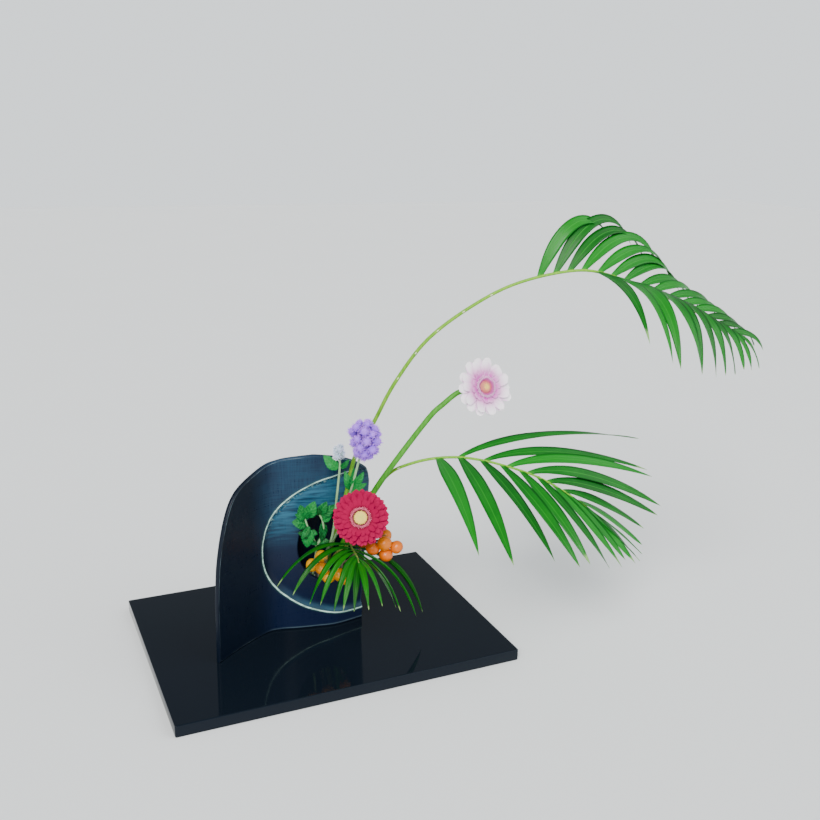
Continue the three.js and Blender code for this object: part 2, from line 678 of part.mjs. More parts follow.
function vase() {
  const { halfHigh: radius, depth, fillet } = DISH;
  const outline = slabOutline();
  const reach = 300;
  const slab = standing(outline, 0, SLAB_THICK, 2);
  const swellBack = SLAB_THICK + DISH.back;
  const swellEdge = [[radius + 8, 3], [radius + 4, swellBack - 2], [radius - 6, swellBack]];
  const swell = turnedBack([[0, 3], ...swellEdge, [0, swellBack]], 28);
  const within = standing(outline, -10, 40, 2);
  const outer = pouch(0, 3 - TANK.shoulder, 0, TANK.top).intersect(flatBlock(0, reach, 3, reach, 0, reach));
  const arc = [0, 0.5, 1].map((share) => {
    const turn = (share * Math.PI) / 2;
    return [radius - fillet * (1 - Math.sin(turn)), depth * Math.cos(turn)];
  });
  const pan = turnedBack([[0, -2], [radius + 0.5, -2], ...arc.reverse(), [0, depth]], 36);
  const round = new THREE.Shape();
  round.absellipse(MOUTH.along, MOUTH.height, MOUTH.halfWide, MOUTH.halfHigh, 0, 2 * Math.PI);
  const mouth = standing(round, -2, 20, 12);
  const cavity = cavityShape(0);
  const body = join([slab, swell.intersect(within), outer]).subtract(pan).subtract(mouth).subtract(cavity);
  return bent(sliced(body, BEND_STEPS));
}

function cavityShape(inset) {
  const front = SLAB_THICK + DISH.back + inset;
  const floor = TANK.floor + inset;
  const height = TANK.top - TANK.wall - floor;
  const room = pouch(TANK.wall + inset, front - TANK.shoulder, floor - TANK.shoulder - 1, height);
  return room.intersect(flatBlock(0, 300, front, 300, floor, 300));
}

function stemBodies() {
  const fronds = [ARCH, RIGHT, FRONT].map((plant) => (
    [ribOf(plant).filter((_, k) => k % 6 === 0).slice(0, 26), plant.radius[0]]));
  const flowers = [RED, PINK, FLOSS, BUDS].map((flower) => [flower.stem, flower.stemRadius]);
  const twigs = [TWIG_LEFT, TWIG_RIGHT].map((twig) => [twig.points, twig.radius]);
  const others = [...flowers, [SPRIG.stem, SPRIG.radius], ...twigs];
  return [...fronds, ...others.map(([points, radius]) => [along(points, 16), radius[0]])];
}

function holderPins() {
  const pins = [];
  const rows = Math.ceil(HOLDER.radius / HOLDER.pitch) + 1;
  const feet = stemBodies();
  for (let row = -rows; row <= rows; row += 1) {
    for (let column = -rows; column <= rows; column += 1) {
      const x = (column + (row % 2 === 0 ? 0 : 0.5)) * HOLDER.pitch;
      const y = row * HOLDER.pitch * 0.866;
      const inside = Math.hypot(x, y) < HOLDER.radius - 2.5;
      const foot = new THREE.Vector3(HOLDER.x + x, HOLDER.y + y, HOLDER_TOP);
      const spots = [0, 0.5, 1].map((share) => foot.clone().setZ(HOLDER_TOP + HOLDER.pin * share));
      const clear = feet.every(([line, radius]) => line.every((point) => (
        spots.every((spot) => spot.distanceTo(point) > radius + HOLDER.pinRadius + HOLDER.room))));
      if (inside && clear) {
        pins.push([HOLDER.x + x, HOLDER.y + y]);
      }
    }
  }
  return pins;
}

function needleHolder() {
  const base = new THREE.CylinderGeometry(HOLDER.radius, HOLDER.radius, HOLDER.base, 24);
  base.rotateX(Math.PI / 2);
  base.translate(HOLDER.x, HOLDER.y, HOLDER_FOOT + HOLDER.base / 2);
  const pins = holderPins().map(([x, y]) => {
    const sunk = 2;
    const pin = new THREE.ConeGeometry(HOLDER.pinRadius, HOLDER.pin + sunk, 4);
    pin.rotateX(Math.PI / 2);
    pin.translate(x, y, HOLDER_TOP + (HOLDER.pin - sunk) / 2);
    return solid(pin);
  });
  return join([solid(base), ...pins]);
}

function water() {
  const flat = cavityShape(GAP).intersect(flatBlock(0, 300, 0, 300, 0, WATER_HEIGHT));
  const body = solid(bent(sliced(flat, BEND_STEPS)));
  const pinTop = HOLDER_TOP + HOLDER.pin + GAP;
  const well = new THREE.CylinderGeometry(HOLDER.radius + GAP, HOLDER.radius + GAP, pinTop, 24);
  well.rotateX(Math.PI / 2);
  well.translate(HOLDER.x, HOLDER.y, pinTop / 2);
  const holes = stemBodies().map(([line, radius]) => {
    const end = line.findIndex((point) => point.z > VASE_FOOT + WATER_HEIGHT + 3);
    const hole = radius * STEM_HOLE.wider + STEM_HOLE.more;
    return stem([line[0], line[Math.round(end / 2)], line[end]], [hole, hole], 5);
  });
  return holes.reduce((rest, hole) => rest.subtract(hole), body.subtract(solid(well)));
}

function board() {
  const { length, width, thick, edge } = BOARD;
  const outline = new THREE.Shape();
  const x = length / 2;
  const y = width / 2;
  outline.moveTo(-x, -y);
  outline.lineTo(x, -y);
  outline.lineTo(x, y);
  outline.lineTo(-x, y);
  outline.closePath();
  const slab = new THREE.ExtrudeGeometry(outline, {
    depth: thick - 2 * edge, bevelThickness: edge, bevelSize: edge, bevelOffset: -edge, bevelSegments: 1,
  });
  slab.translate(0, 0, edge);
  return slab;
}

const lacquer = new THREE.MeshStandardMaterial({ color: 0x14181f, roughness: 0.15 });
const glaze = new THREE.MeshStandardMaterial({ color: 0x16202e, roughness: 0.35 });
const brass = new THREE.MeshStandardMaterial({ color: 0x9a8446, roughness: 0.4, metalness: 0.8 });
const clearWater = new THREE.MeshStandardMaterial({ color: 0x9fb4ba, roughness: 0.05 });
const palm = new THREE.MeshStandardMaterial({ color: 0x1f8a2e, roughness: 0.45 });
const greenStem = new THREE.MeshStandardMaterial({ color: 0x5f9a3c, roughness: 0.5 });
const redPetal = new THREE.MeshStandardMaterial({ color: 0xe00a5a, roughness: 0.5 });
const pinkPetal = new THREE.MeshStandardMaterial({ color: 0xf0c8e0, roughness: 0.5 });
const paleDisc = new THREE.MeshStandardMaterial({ color: 0xf0e090, roughness: 0.7 });
const purpleFloret = new THREE.MeshStandardMaterial({ color: 0xa98ae0, roughness: 0.8 });
const paleFloret = new THREE.MeshStandardMaterial({ color: 0xb8c4e0, roughness: 0.8 });
const greyLeaf = new THREE.MeshStandardMaterial({ color: 0x3c9060, roughness: 0.6 });
const fruitSkin = new THREE.MeshStandardMaterial({ color: 0xf08a20, roughness: 0.35 });
const bark = new THREE.MeshStandardMaterial({ color: 0x7a6a4c, roughness: 0.8 });

const arrangement = new THREE.Group();

function add(name, geometry, material) {
  const mesh = new THREE.Mesh(geometry, material);
  mesh.name = name;
  arrangement.add(mesh);
}

add('board', board(), lacquer);
add('vase', vase(), glaze);
add('needle_holder', shape(needleHolder()), brass);
add('water', shape(water()), clearWater);
add('palm_arch', shape(frond(ARCH, [ARCH_FAR, ARCH_NEAR])), palm);
add('palm_right', shape(frond(RIGHT, [RIGHT_FAR, RIGHT_NEAR])), palm);
add('palm_front', shape(frond(FRONT, [FRONT_LEFT, FRONT_RIGHT])), palm);
[['red', RED, redPetal], ['pink', PINK, pinkPetal]].forEach(([colour, flower, material]) => {
  add(`gerbera_${colour}_petals`, turned(petals(flower), flower), material);
  add(`gerbera_${colour}_disc`, turned(disc(), flower), paleDisc);
  add(`gerbera_${colour}_stem`, shape(flowerStem(flower)), greenStem);
});
const sprigStems = [[SPRIG.stem, SPRIG.radius, 11], [SPRIG.branch, SPRIG.radius, 6]];
add('floss_head', shape(fluffyHead(FLOSS)), purpleFloret);
add('floss_stem', shape(leafyStem([[FLOSS.stem, FLOSS.stemRadius, 10]], FLOSS_LEAVES)), greyLeaf);
add('bud_head', shape(fluffyHead(BUDS)), paleFloret);
add('bud_stem', shape(leafyStem([[BUDS.stem, BUDS.stemRadius, 10]], BUD_LEAVES)), greyLeaf);
add('leafy_sprig', shape(leafyStem(sprigStems, SPRIG_LEAVES)), greyLeaf);
add('fruit_left', shape(fruitBunch(FRUIT_LEFT)), fruitSkin);
add('fruit_right', shape(fruitBunch(FRUIT_RIGHT)), fruitSkin);
add('twig_left', shape(stem(along(TWIG_LEFT.points, 8), TWIG_LEFT.radius, 6)), bark);
add('twig_right', shape(stem(along(TWIG_RIGHT.points, 9), TWIG_RIGHT.radius, 6)), bark);

export default arrangement;
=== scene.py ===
"""Looks of the ikebana arrangement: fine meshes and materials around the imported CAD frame.

Plants and vase are made in millimetres by the same rules as the solids, with more steps, and
turned into metres where a mesh is made.
"""

import math

import bpy
import numpy as np
from mathutils import Matrix, Vector
from mathutils.geometry import delaunay_2d_cdt


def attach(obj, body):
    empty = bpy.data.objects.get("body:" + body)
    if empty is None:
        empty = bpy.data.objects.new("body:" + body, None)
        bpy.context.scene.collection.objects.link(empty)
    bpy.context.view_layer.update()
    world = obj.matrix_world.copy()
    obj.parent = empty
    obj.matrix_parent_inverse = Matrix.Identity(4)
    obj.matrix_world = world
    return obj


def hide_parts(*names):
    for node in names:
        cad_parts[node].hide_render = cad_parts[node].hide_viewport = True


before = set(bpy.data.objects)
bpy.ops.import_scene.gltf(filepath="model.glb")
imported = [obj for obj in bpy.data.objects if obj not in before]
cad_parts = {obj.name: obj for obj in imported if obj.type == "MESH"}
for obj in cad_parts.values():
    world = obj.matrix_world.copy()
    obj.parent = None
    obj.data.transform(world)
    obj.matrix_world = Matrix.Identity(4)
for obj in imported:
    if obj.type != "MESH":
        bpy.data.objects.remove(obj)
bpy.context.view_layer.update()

MM = 0.001
FULL = 2 * math.pi
GOLDEN = math.pi * (3 - math.sqrt(5))

# Camera, light and floor

CAMERA = {"place": (-380.5, -1100.4, 664.0), "heading": -24.81, "pitch": 16.81, "roll": 1.56, "lens": 43.03}
KEY_LIGHT = {"towards": (0.6, 0.9, -0.9), "power": 4.9, "softness": 35, "colour": (1.0, 0.985, 0.96)}
FILL_LIGHT = {"towards": (-0.9, 0.6, -0.8), "power": 1.7, "softness": 60, "colour": (0.93, 0.97, 1.0)}
SKY_COLOUR = (0.873, 0.922, 0.948)
SKY_HEIGHT, SKY_STRENGTH = (0.11, 0.2), (1.44, 0.4)
FLOOR = {"reach": 6000, "drop": 0.4}


def linked(name, data):
    made = bpy.data.objects.new(name, data)
    bpy.context.scene.collection.objects.link(made)
    return made


def make_camera():
    data = bpy.data.cameras.new("camera")
    data.lens = CAMERA["lens"]
    data.sensor_width = 36.0
    data.clip_start = 0.05
    stand = Matrix.Translation(Vector(CAMERA["place"]) * MM)
    for degrees, axis in ((CAMERA["heading"], "Z"), (90 - CAMERA["pitch"], "X"), (CAMERA["roll"], "Z")):
        stand = stand @ Matrix.Rotation(math.radians(degrees), 4, axis)
    camera = linked("camera", data)
    camera.matrix_world = stand
    bpy.context.scene.camera = camera


def soft_light(name, towards, power, softness, colour):
    """Broad light from far away, whose shadows have wide soft edges."""
    data = bpy.data.lights.new(name, "SUN")
    data.energy = power
    data.angle = math.radians(softness)
    data.color = colour
    linked(name, data).rotation_euler = Vector(towards).to_track_quat("-Z", "Y").to_euler()


# Numbers and lines

DICE = {"start": 7919, "factor": 16807, "limit": 2**31 - 1}


def vec(*values):
    return np.array(values, float)


def unit(v):
    return v / np.linalg.norm(v)


def units(vectors):
    return vectors / np.linalg.norm(vectors, axis=1)[:, None]


def mix(a, b, share):
    return a + (b - a) * share


def keyed(values, place, middle=0.5):
    """Value at a place from 0 to 1, between two given ones or three, the second of three at the middle."""
    places = (0, 1) if len(values) == 2 else (0, middle, 1)
    return float(np.interp(place, places, values))


def dice(seed):
    """Seeded numbers from 0 to 1."""
    state = seed * DICE["start"]

    def roll():
        nonlocal state
        state = (state * DICE["factor"]) % DICE["limit"]
        return state / DICE["limit"]

    return roll


def between(own, low, high):
    return low + (high - low) * own()


def wobble(own, rise=-0.5):
    """Random vector, whose height is drawn from the rise upwards."""
    return vec(own() - 0.5, own() - 0.5, own() + rise)


def turns_of(count):
    return np.linspace(0, FULL, count, endpoint=False)


def circling(turn, radius=1.0, height=0.0):
    return vec(radius * math.cos(turn), radius * math.sin(turn), height)


def run_of(points):
    """Distance of each point from the first, along the line."""
    return np.r_[0, np.cumsum(np.linalg.norm(np.diff(points, axis=0), axis=1))]


def spaced(points, steps):
    """Points spaced evenly along a fine line."""
    run = run_of(points)
    places = np.linspace(0, run[-1], steps + 1)
    return np.column_stack([np.interp(places, run, column) for column in points.T])


def curve(p, per_span):
    """Smooth line through the inner points, steered by the first and the last."""
    f = np.linspace(0, 1, per_span, endpoint=False)[:, None]
    spans = [
        0.5 * (2 * b + (c - a) * f + (2 * a - 5 * b + 4 * c - d) * f**2 + (3 * b - a - 3 * c + d) * f**3)
        for a, b, c, d in zip(p, p[1:], p[2:], p[3:])
    ]
    return np.vstack([*spans, p[-2:-1]])


def smooth_line(points, steps):
    """Evenly spaced points on a smooth line through the given ones, its ends carried on straight."""
    p = np.asarray(points, float)
    return spaced(curve(np.vstack([2 * p[0] - p[1], p, 2 * p[-1] - p[-2]]), 40), steps)


def clamped_line(points, per_span):
    """Smooth flat line through the points, with its ends held."""
    p = np.asarray(points, float)
    return curve(np.vstack([p[:1], p, p[-1:]]), per_span)


# Meshes

MIDDLE = (0.5, 0.5)


def grid_faces(rows, columns, around=False):
    """Faces over rows of points, and from each row's last point to its first where they run around."""
    faces = []
    for r in range(rows - 1):
        for c in range(columns if around else columns - 1):
            a, b = r * columns + c, r * columns + (c + 1) % columns
            faces.append([a, b, b + columns, a + columns])
    return faces


class Builder:
    """Gathers points and faces of one piece, with a material and two pairs of numbers for each corner."""

    def __init__(self):
        self.points, self.faces, self.slots, self.flat, self.tone = [], [], [], [], []

    def add(self, points, faces, slot=0, flat=None, tone=MIDDLE):
        start = len(self.points)
        self.points.extend(np.asarray(points, float).tolist())
        for face in faces:
            self.faces.append([start + i for i in face])
            self.slots.append(slot)
            self.flat.append([(0.0, 0.0) if flat is None else flat[i] for i in face])
            self.tone.append([tone if isinstance(tone, tuple) else tone[i] for i in face])

    def rings(self, points, ends, sides, slot=0, flat=None, tone=MIDDLE):
        """Closed shape over rings of points, which close towards the first and the last end."""
        count = len(points)
        faces = grid_faces(count // sides, sides, True)
        for side in range(sides):
            following = (side + 1) % sides
            faces.append([count, following, side])
            faces.append([count + 1, count - sides + side, count - sides + following])
        flat = flat if flat is None else [*flat, (0.5, 0.0), (0.5, 1.0)]
        self.add([*points, *ends], faces, slot, flat, tone)

    def sheet(self, top, bottom, slot, flat, tone):
        """Closed thin sheet between two grids of points with the same rows and columns."""
        rows, columns = top.shape[:2]
        count = rows * columns
        upper = grid_faces(rows, columns)
        lower = [[count + a, count + d, count + c, count + b] for a, b, c, d in upper]
        numbers = np.arange(count).reshape(rows, columns)
        sides = (numbers[0], numbers[1:, -1], numbers[-1, -2::-1], numbers[-2:0:-1, 0])
        edge = np.concatenate(sides).tolist()
        rim = [[a, count + a, count + b, b] for a, b in zip(edge, edge[1:] + edge[:1])]
        points = np.vstack([top.reshape(-1, 3), bottom.reshape(-1, 3)])
        self.add(points, upper + lower + rim, slot, [*flat, *flat], tone)

    def object(self, name, skins, sharp=None):
        mesh = bpy.data.meshes.new(name)
        mesh.from_pydata((np.array(self.points) * MM).tolist(), [], self.faces)
        for skin in skins:
            mesh.materials.append(skin.material)
        mesh.polygons.foreach_set("material_index", self.slots)
        for layer, values in (("flat", self.flat), ("tone", self.tone)):
            data = mesh.uv_layers.new(name=layer).data
            data.foreach_set("uv", [float(x) for face in values for corner in face for x in corner])
        mesh.polygons.foreach_set("use_smooth", [True] * len(self.faces))
        mesh.validate()
        mesh.update()
        if sharp is not None:
            mesh.set_sharp_from_angle(angle=math.radians(sharp))
        return linked(name, mesh)

    def piece(self, name, node, skins, sharp=None):
        """The gathered mesh as a piece that stands for the CAD node."""
        made = self.object(name, skins, sharp)
        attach(made, "root")
        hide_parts(node)


def tube(builder, line, radii, sides=14, slot=0, tone=MIDDLE):
    """Round stem along the line. radii has a radius for every point of the line."""
    ahead = units(np.gradient(line, axis=0))
    side = vec(1, 0.3, 0)
    points, flat = [], []
    for k, (centre, way) in enumerate(zip(line, ahead)):
        side = unit(side - way * (side @ way))
        other = np.cross(way, side)
        for turn in turns_of(sides):
            points.append(centre + radii[k] * (side * math.cos(turn) + other * math.sin(turn)))
            flat.append((turn / FULL, k / (len(line) - 1)))
    builder.rings(points, (line[0], line[-1]), sides, slot, flat, tone)


def cross_grid(rows, columns):
    """Columns of shares from root to tip and rows of places from -1 to 1 across."""
    return np.linspace(0, 1, rows + 1)[:, None], np.linspace(-1, 1, columns)[None, :]


def flat_pairs(across, along, shape):
    pairs = np.broadcast_to(0.5 + 0.5 * across, shape), np.broadcast_to(along, shape)
    return np.stack(pairs, -1).reshape(-1, 2)


# Fronds

STEM_FOOT = 29.9
SWEEP = {"root": (25, -12), "heading": -24.8}

ARCH = {
    "foot": [(20, 45, STEM_FOOT), (27, 12, 125), (31, -17, 178)],
    "sweep": [
        (11, 203, -10), (22, 253, 2), (44, 296, 2), (69, 348, 0), (107, 403, 0), (161, 447, 0),
        (215, 476, 0), (283, 492, 0), (333, 484, 0), (392, 462, 0), (440, 440, 0), (478, 421, 0),
    ],
    "radius": (3.3, 1.1), "face": (-0.3, -0.2, 1), "seed": 11,
}
RIGHT = {
    "foot": [(33, 41, STEM_FOOT), (41, 9, 120), (45.5, -13, 157)],
    "sweep": [
        (36, 186, 6), (52, 211, 9), (69, 231, 6), (91, 243, 2), (117, 251, 0), (149, 254, 0),
        (180, 251, 0), (211, 244, 0), (243, 234, 0), (269, 222, 0), (300, 203, 0), (325, 184, 0),
    ],
    "radius": (2.8, 1.0), "face": (0.1, -0.3, 1), "seed": 23,
}
FRONT = {
    "foot": [(15, 12, STEM_FOOT), (18, 3, 91), (23, -13, 119)],
    "sweep": [(15.5, 136, -12), (20.5, 139, -29), (25, 141.5, -47), (29.5, 143, -64), (32, 144, -80)],
    "radius": (2.2, 0.9), "face": (0.2, -0.2, 1), "seed": 37,
}

# Rows of leaflets, as in the solids, with some blades a little wider. Two or three values in brackets are
# those at the base of the row, at its middle and at its end. The half width's middle one stands at half_at.
ROW_KEYS = (
    "side", "count", "from", "to", "spread", "angle", "rise", "length", "droop",
    "late", "half", "half_at", "roll",
)
ARCH_ROWS = [
    (-1, 15, 0.6, 0.985, 1, (53, 56, 30), (60, 8, 10), (158, 148, 70), (1.7, 1.5, 1.5),
     (1.2, 2.6), (8, 7.2, 5.5), 0.6, (0, 0)),
    (1, 11, 0.708, 0.985, 1, (84, 67, 50), (21, 30, 25), (225, 140, 60), (0.9, 4, 2.4),
     (2.7, 2.2), (6.5, 9.5, 7), 0.3, (12, 12)),
]
RIGHT_ROWS = [
    (-1, 8, 0.434, 0.985, 1.25, (41, 48, 20), (34, 58, -5), (292, 186, 118), (0.68, 0.95, 0.25),
     (0.36, 0.42), (7.5, 7), 0.5, (-20, -20)),
    (1, 10, 0.352, 0.985, 1.2, (79, 43, 14), (12, -5, 5), (208, 146, 90), (0.55, 0.42, 0.1),
     (1.3, 1.3), (10, 8), 0.5, (0, 0)),
]
FRONT_ROWS = [
    (1, 7, 0.12, 0.95, 1, (66, 55, 10), (10, 3, 8), (117, 87, 66), (1.44, 2.7, 1.5),
     (1.16, 0.7), (4.9, 4.4), 0.5, (0, 0)),
    (-1, 6, 0.12, 0.95, 1, (84, 34, 7), (-4, -11, 40), (138, 96, 75), (2.8, 1.56, 1.57),
     (1.87, 1.3), (5, 4.4), 0.5, (-40, -20)),
]

LEAFLET = {
    "steps": 40, "thick": 0.7, "tip_thick": 0.4, "fold": 0.22, "base": 0.35, "peak": 0.33, "jitter": 0.05,
    "twist": 1.5, "corners": (-1, -0.55, 0, 0.55, 1, 0.55, 0, -0.55), "upper_corners": 5,
    "fold_power": 1.3, "taper": 0.85, "ripple": (0.3, 0.8), "ripples": 11,
}
RIB = {"steps": 300, "near_root": 2, "around": 3}
SCAR = {
    "size": 0.9, "bulge": 0.9,
    "points": ((-2.4, -0.4, 0.5), (-1.2, 0.6, 0.9), (0, 1, 1), (1.2, 1.1, 0.8), (2.4, 1.3, 0.35)),
}
ARCH_SCARS = [(0.405 + 0.0237 * k, 1 if k % 2 else -1) for k in range(11)]
RIGHT_SCARS = [(0.427, -1), (0.471, 1), (0.513, -1)]


def sweep_point(point):
    out, height, back = point
    turn = math.radians(SWEEP["heading"])
    x = SWEEP["root"][0] + out * math.cos(turn) - back * math.sin(turn)
    y = SWEEP["root"][1] + out * math.sin(turn) + back * math.cos(turn)
    return (x, y, height)


def rib_frame(rib, plant, share):
    """Place, direction, upper side and left side of the rib at a share of its sweep."""
    root = vec(*sweep_point(plant["sweep"][0]))
    first = int(np.argmax(np.linalg.norm(rib - root, axis=1) < RIB["near_root"]))
    last = len(rib) - 1
    index = int(mix(first, last, share) + 0.5)
    ahead = unit(rib[min(index + RIB["around"], last)] - rib[max(index - RIB["around"], 0)])
    up = unit(vec(*plant["face"]))
    up = unit(up - ahead * (up @ ahead))
    return rib[index], ahead, up, np.cross(ahead, up)


def leaflet_half(share, half):
    peak, base = LEAFLET["peak"], LEAFLET["base"]
    if share < peak:
        return half * mix(base, 1, math.sin(share / peak * math.pi / 2))
    return half * max(math.cos((share - peak) / (1 - peak) * math.pi / 2), 0) ** LEAFLET["taper"]


def leaflet(builder, place_on_rib, row, place, roll, own):
    """One leaflet: it leaves the rib at its angle and bends down under its own weight."""
    point, ahead, up, left = place_on_rib

    def drawn(key):
        return keyed(row[key], place) * (1 + LEAFLET["jitter"] * (2 * roll() - 1))

    angle, length, droop = math.radians(drawn("angle")), drawn("length"), drawn("droop")
    rise, turn = math.radians(keyed(row["rise"], place)), math.radians(keyed(row["roll"], place))
    late = keyed(row["late"], place)
    aside = left * row["side"] * math.cos(rise) + up * math.sin(rise)
    start = unit(ahead * math.cos(angle) + aside * math.sin(angle))
    steps, corners = LEAFLET["steps"], LEAFLET["corners"]
    line, ways = [point], []
    for step in range(steps):
        ways.append(unit(start + vec(0, 0, -droop * ((step + 0.5) / steps) ** late)))
        line.append(line[-1] + ways[-1] * length / steps)
    across = unit(ahead - start * (ahead @ start))
    across = across * math.cos(turn) + np.cross(start, across) * math.sin(turn)
    if np.cross(across, start) @ up < 0:
        across = -across
    half = keyed(row["half"], place, row["half_at"])
    wave, phase = between(own, *LEAFLET["ripple"]), between(own, 0, 6.28)
    tone = (own(), own())
    twist = LEAFLET["twist"] * (2 * own() - 1)
    points, flat = [], []
    for k, way in enumerate(ways):
        share = k / steps
        across = unit(across - way * (across @ way) + np.cross(way, across) * twist * share / steps)
        normal = np.cross(across, way)
        wide = leaflet_half(share, half)
        ripple = wave * math.sin(share * LEAFLET["ripples"] + phase) * share
        thick = mix(LEAFLET["thick"], LEAFLET["thick"] * LEAFLET["tip_thick"], share)
        for corner, x in enumerate(corners):
            lift = LEAFLET["fold"] * wide * abs(x) ** LEAFLET["fold_power"] + ripple * x
            below = 0 if corner < LEAFLET["upper_corners"] else thick
            points.append(line[k] + across * wide * x + normal * (lift - below))
            flat.append((0.5 + 0.5 * x, share))
    builder.rings(points, (line[0], line[-1]), len(corners), 0, flat, tone)


def scar(builder, rib, index, side):
    """Pale stub of a trimmed leaflet, pressed along the rib."""
    size = SCAR["size"]
    ahead = unit(rib[index + 2] - rib[index - 2])
    out = unit(np.cross(ahead, vec(0, 0, 1))) * side
    line = [
        rib[index] + ahead * step * size + out * (1 + SCAR["bulge"] * bulge)
        for step, bulge, _ in SCAR["points"]
    ]
    tube(builder, np.array(line), [wide * size for _, _, wide in SCAR["points"]], 8, 2)


def frond(name, node, plant, rows, scars, skins):
    rib = smooth_line(plant["foot"] + [sweep_point(p) for p in plant["sweep"]], RIB["steps"])
    roll, own = dice(plant["seed"]), dice(plant["seed"] + 100)
    builder = Builder()
    for values in rows:
        row = dict(zip(ROW_KEYS, values))
        for index in range(row["count"]):
            place = index / (row["count"] - 1)
            share = row["from"] + (row["to"] - row["from"]) * place * mix(row["spread"], 1, place)
            leaflet(builder, rib_frame(rib, plant, share), row, place, roll, own)
    tube(builder, rib, np.linspace(*plant["radius"], len(rib)), 14, 1)
    for share, side in scars:
        scar(builder, rib, round(RIB["steps"] * share), side)
    builder.piece(name, node, skins)


# Leaves of the sprig and the floss flowers: base, tip, half width, direction of the upper face

LEAF = {
    "rows": 30, "columns": 11, "thick": 0.5, "teeth": 7, "notch": 0.1, "fold": 0.2, "arch": 0.1,
    "quilt": 0.35, "veins": 6, "vein_slant": 0.22, "narrowest": 0.7, "taper": 0.6, "twist": 0.25,
    "cup": 0.1, "fold_power": 1.2, "widest": 0.75, "blunt": 0.8,
}


def leaf(builder, base, tip, half, face, own):
    start, end = vec(*base), vec(*tip)
    length = np.linalg.norm(end - start)
    way = (end - start) / length
    up = unit(vec(*face) - way * (vec(*face) @ way))
    across = np.cross(way, up)
    tone = (own(), own())
    twist, cup = between(own, -LEAF["twist"], LEAF["twist"]), own() * LEAF["cup"]
    share, x = cross_grid(LEAF["rows"], LEAF["columns"])
    away = np.abs(x)
    body = np.maximum(np.sin(math.pi * share ** LEAF["widest"]), 0) ** LEAF["blunt"]
    saw = (share * LEAF["teeth"]) % 1
    least = LEAF["narrowest"] - LEAF["taper"] * share
    wide = np.maximum(half * body * (1 + LEAF["notch"] * (1 - 2 * saw)), least)
    waves = np.cos(FULL * (share - LEAF["vein_slant"] * away) * LEAF["veins"])
    quilt = waves * LEAF["quilt"] * (1 - away) * away * 2 * body
    lift = wide * (LEAF["fold"] * away ** LEAF["fold_power"] - cup * x * x) + quilt
    middle = start + way * length * share + up * length * LEAF["arch"] * np.sin(math.pi * share)
    turn = twist * share
    aside = across * np.cos(turn) + up * np.sin(turn)
    above = up * np.cos(turn) - across * np.sin(turn)
    top = middle[:, None] + aside[:, None] * (wide * x)[..., None] + above[:, None] * lift[..., None]
    builder.sheet(top, top - up * LEAF["thick"], 0, flat_pairs(x, share, lift.shape), tone)


# Blooms, built facing +Z at the origin and then turned to their place

RED = {
    "centre": (33, -71, 190), "face": (-0.36, -0.82, 0.44), "radius": 35, "stem_radius": (3.2, 2.8),
    "stem": [(27, 19, STEM_FOOT), (30.5, 0, 108), (34, -23, 149), (35, -45, 171)], "seed": 3,
    "layers": [
        (1.02, 23, 0.0, -0.6, 2.6, 0.135), (0.99, 23, 0.5, 0.5, 3.4, 0.135), (0.87, 22, 0.25, 1.5, 4.2, 0.13),
        (0.68, 21, 0.1, 2.3, 3.6, 0.12),
    ],
    "notch": 0.03, "groove": 0.16, "closing": 0.3, "spread": 0.16, "uneven": 0.04, "ring": (44, 13.6, 2.2),
}
PINK = {
    "centre": (185, -91, 347), "face": (0.06, -0.92, 0.38), "radius": 39.5, "stem_radius": (4, 3.2),
    "stem": [
        (38, 28, STEM_FOOT), (41, 1, 118), (46, -24, 165), (64.7, -39.1, 210), (86.3, -50.3, 249),
        (125, -63, 306), (141, -68, 323), (159, -71, 337), (175, -75, 342),
    ],
    "seed": 8,
    "layers": [
        (1.0, 14, 0.0, -0.6, 2.0, 0.165), (0.9, 11, 0.5, 0.9, 4.0, 0.165), (0.55, 14, 0.2, 2.0, 3.4, 0.09),
    ],
    "notch": 0.03, "groove": 0.32, "closing": 0.1, "spread": 0.36, "uneven": 0.12, "ring": (44, 14.5, 3.0),
}

PETAL = {
    "rows": 20, "columns": 11, "thick": 0.55, "root": 6.5, "narrow": 0.34, "widest": 0.62, "closes": 0.72,
    "round": 0.13, "round_power": 2.6, "notch_power": 6, "grooves": 1.25, "curl": 0.9,
    "lean": 0.06, "droop": 1.5, "lift_power": 1.6, "grooved": 1.15, "stagger": 0.25,
}
DISC = {
    "radius": 8.2, "height": 3.6, "florets": 130, "foot": 0.4, "dome": (0.15, 1.45), "spiral": 0.98,
    "sunk": 0.2, "bump": 0.62, "bump_height": (1.1, 1.5), "bump_lean": 0.8,
    "petal_radii": (0.5, 0.75, 0.6, 0.15), "petal_places": (0, 0.35, 0.7, 1), "petal_root": 0.9,
    "petal_low": 0.8, "petal_arch": 1.7, "shorter": 0.12,
}
BUMP = ((0, 0.8), (0.45, 1), (0.8, 0.62))
RECEPTACLE = {
    "radius": 9.5, "low": -1.5, "high": 1.5, "edge": 0.8, "gap": 0.3, "under": 0.7, "above": 0.8, "sides": 40,
}
CALYX = {
    "radius": 8.5, "length": 13, "scales": 22, "rows": 3, "first_row": 0.15, "row_step": 0.25, "scale": 6,
    "radii": (0.8, 1.0, 0.6, 0.1), "swell": 0.9, "lift": 0.25, "rim": 0.4,
}
BLOOM_STEM = {"steps": 110, "sides": 18, "ripple": 0.05, "ripples": 40}


def facing_matrix(flower):
    """Turn that takes +Z to the way the flower faces."""
    z = unit(vec(*flower["face"]))
    axis = np.cross(vec(0, 0, 1), z)
    sine, cosine = np.linalg.norm(axis), z[2]
    x, y, _ = axis / sine
    skew = np.array([[0, 0, y], [0, 0, -x], [-y, x, 0]])
    return np.eye(3) + sine * skew + (1 - cosine) * skew @ skew


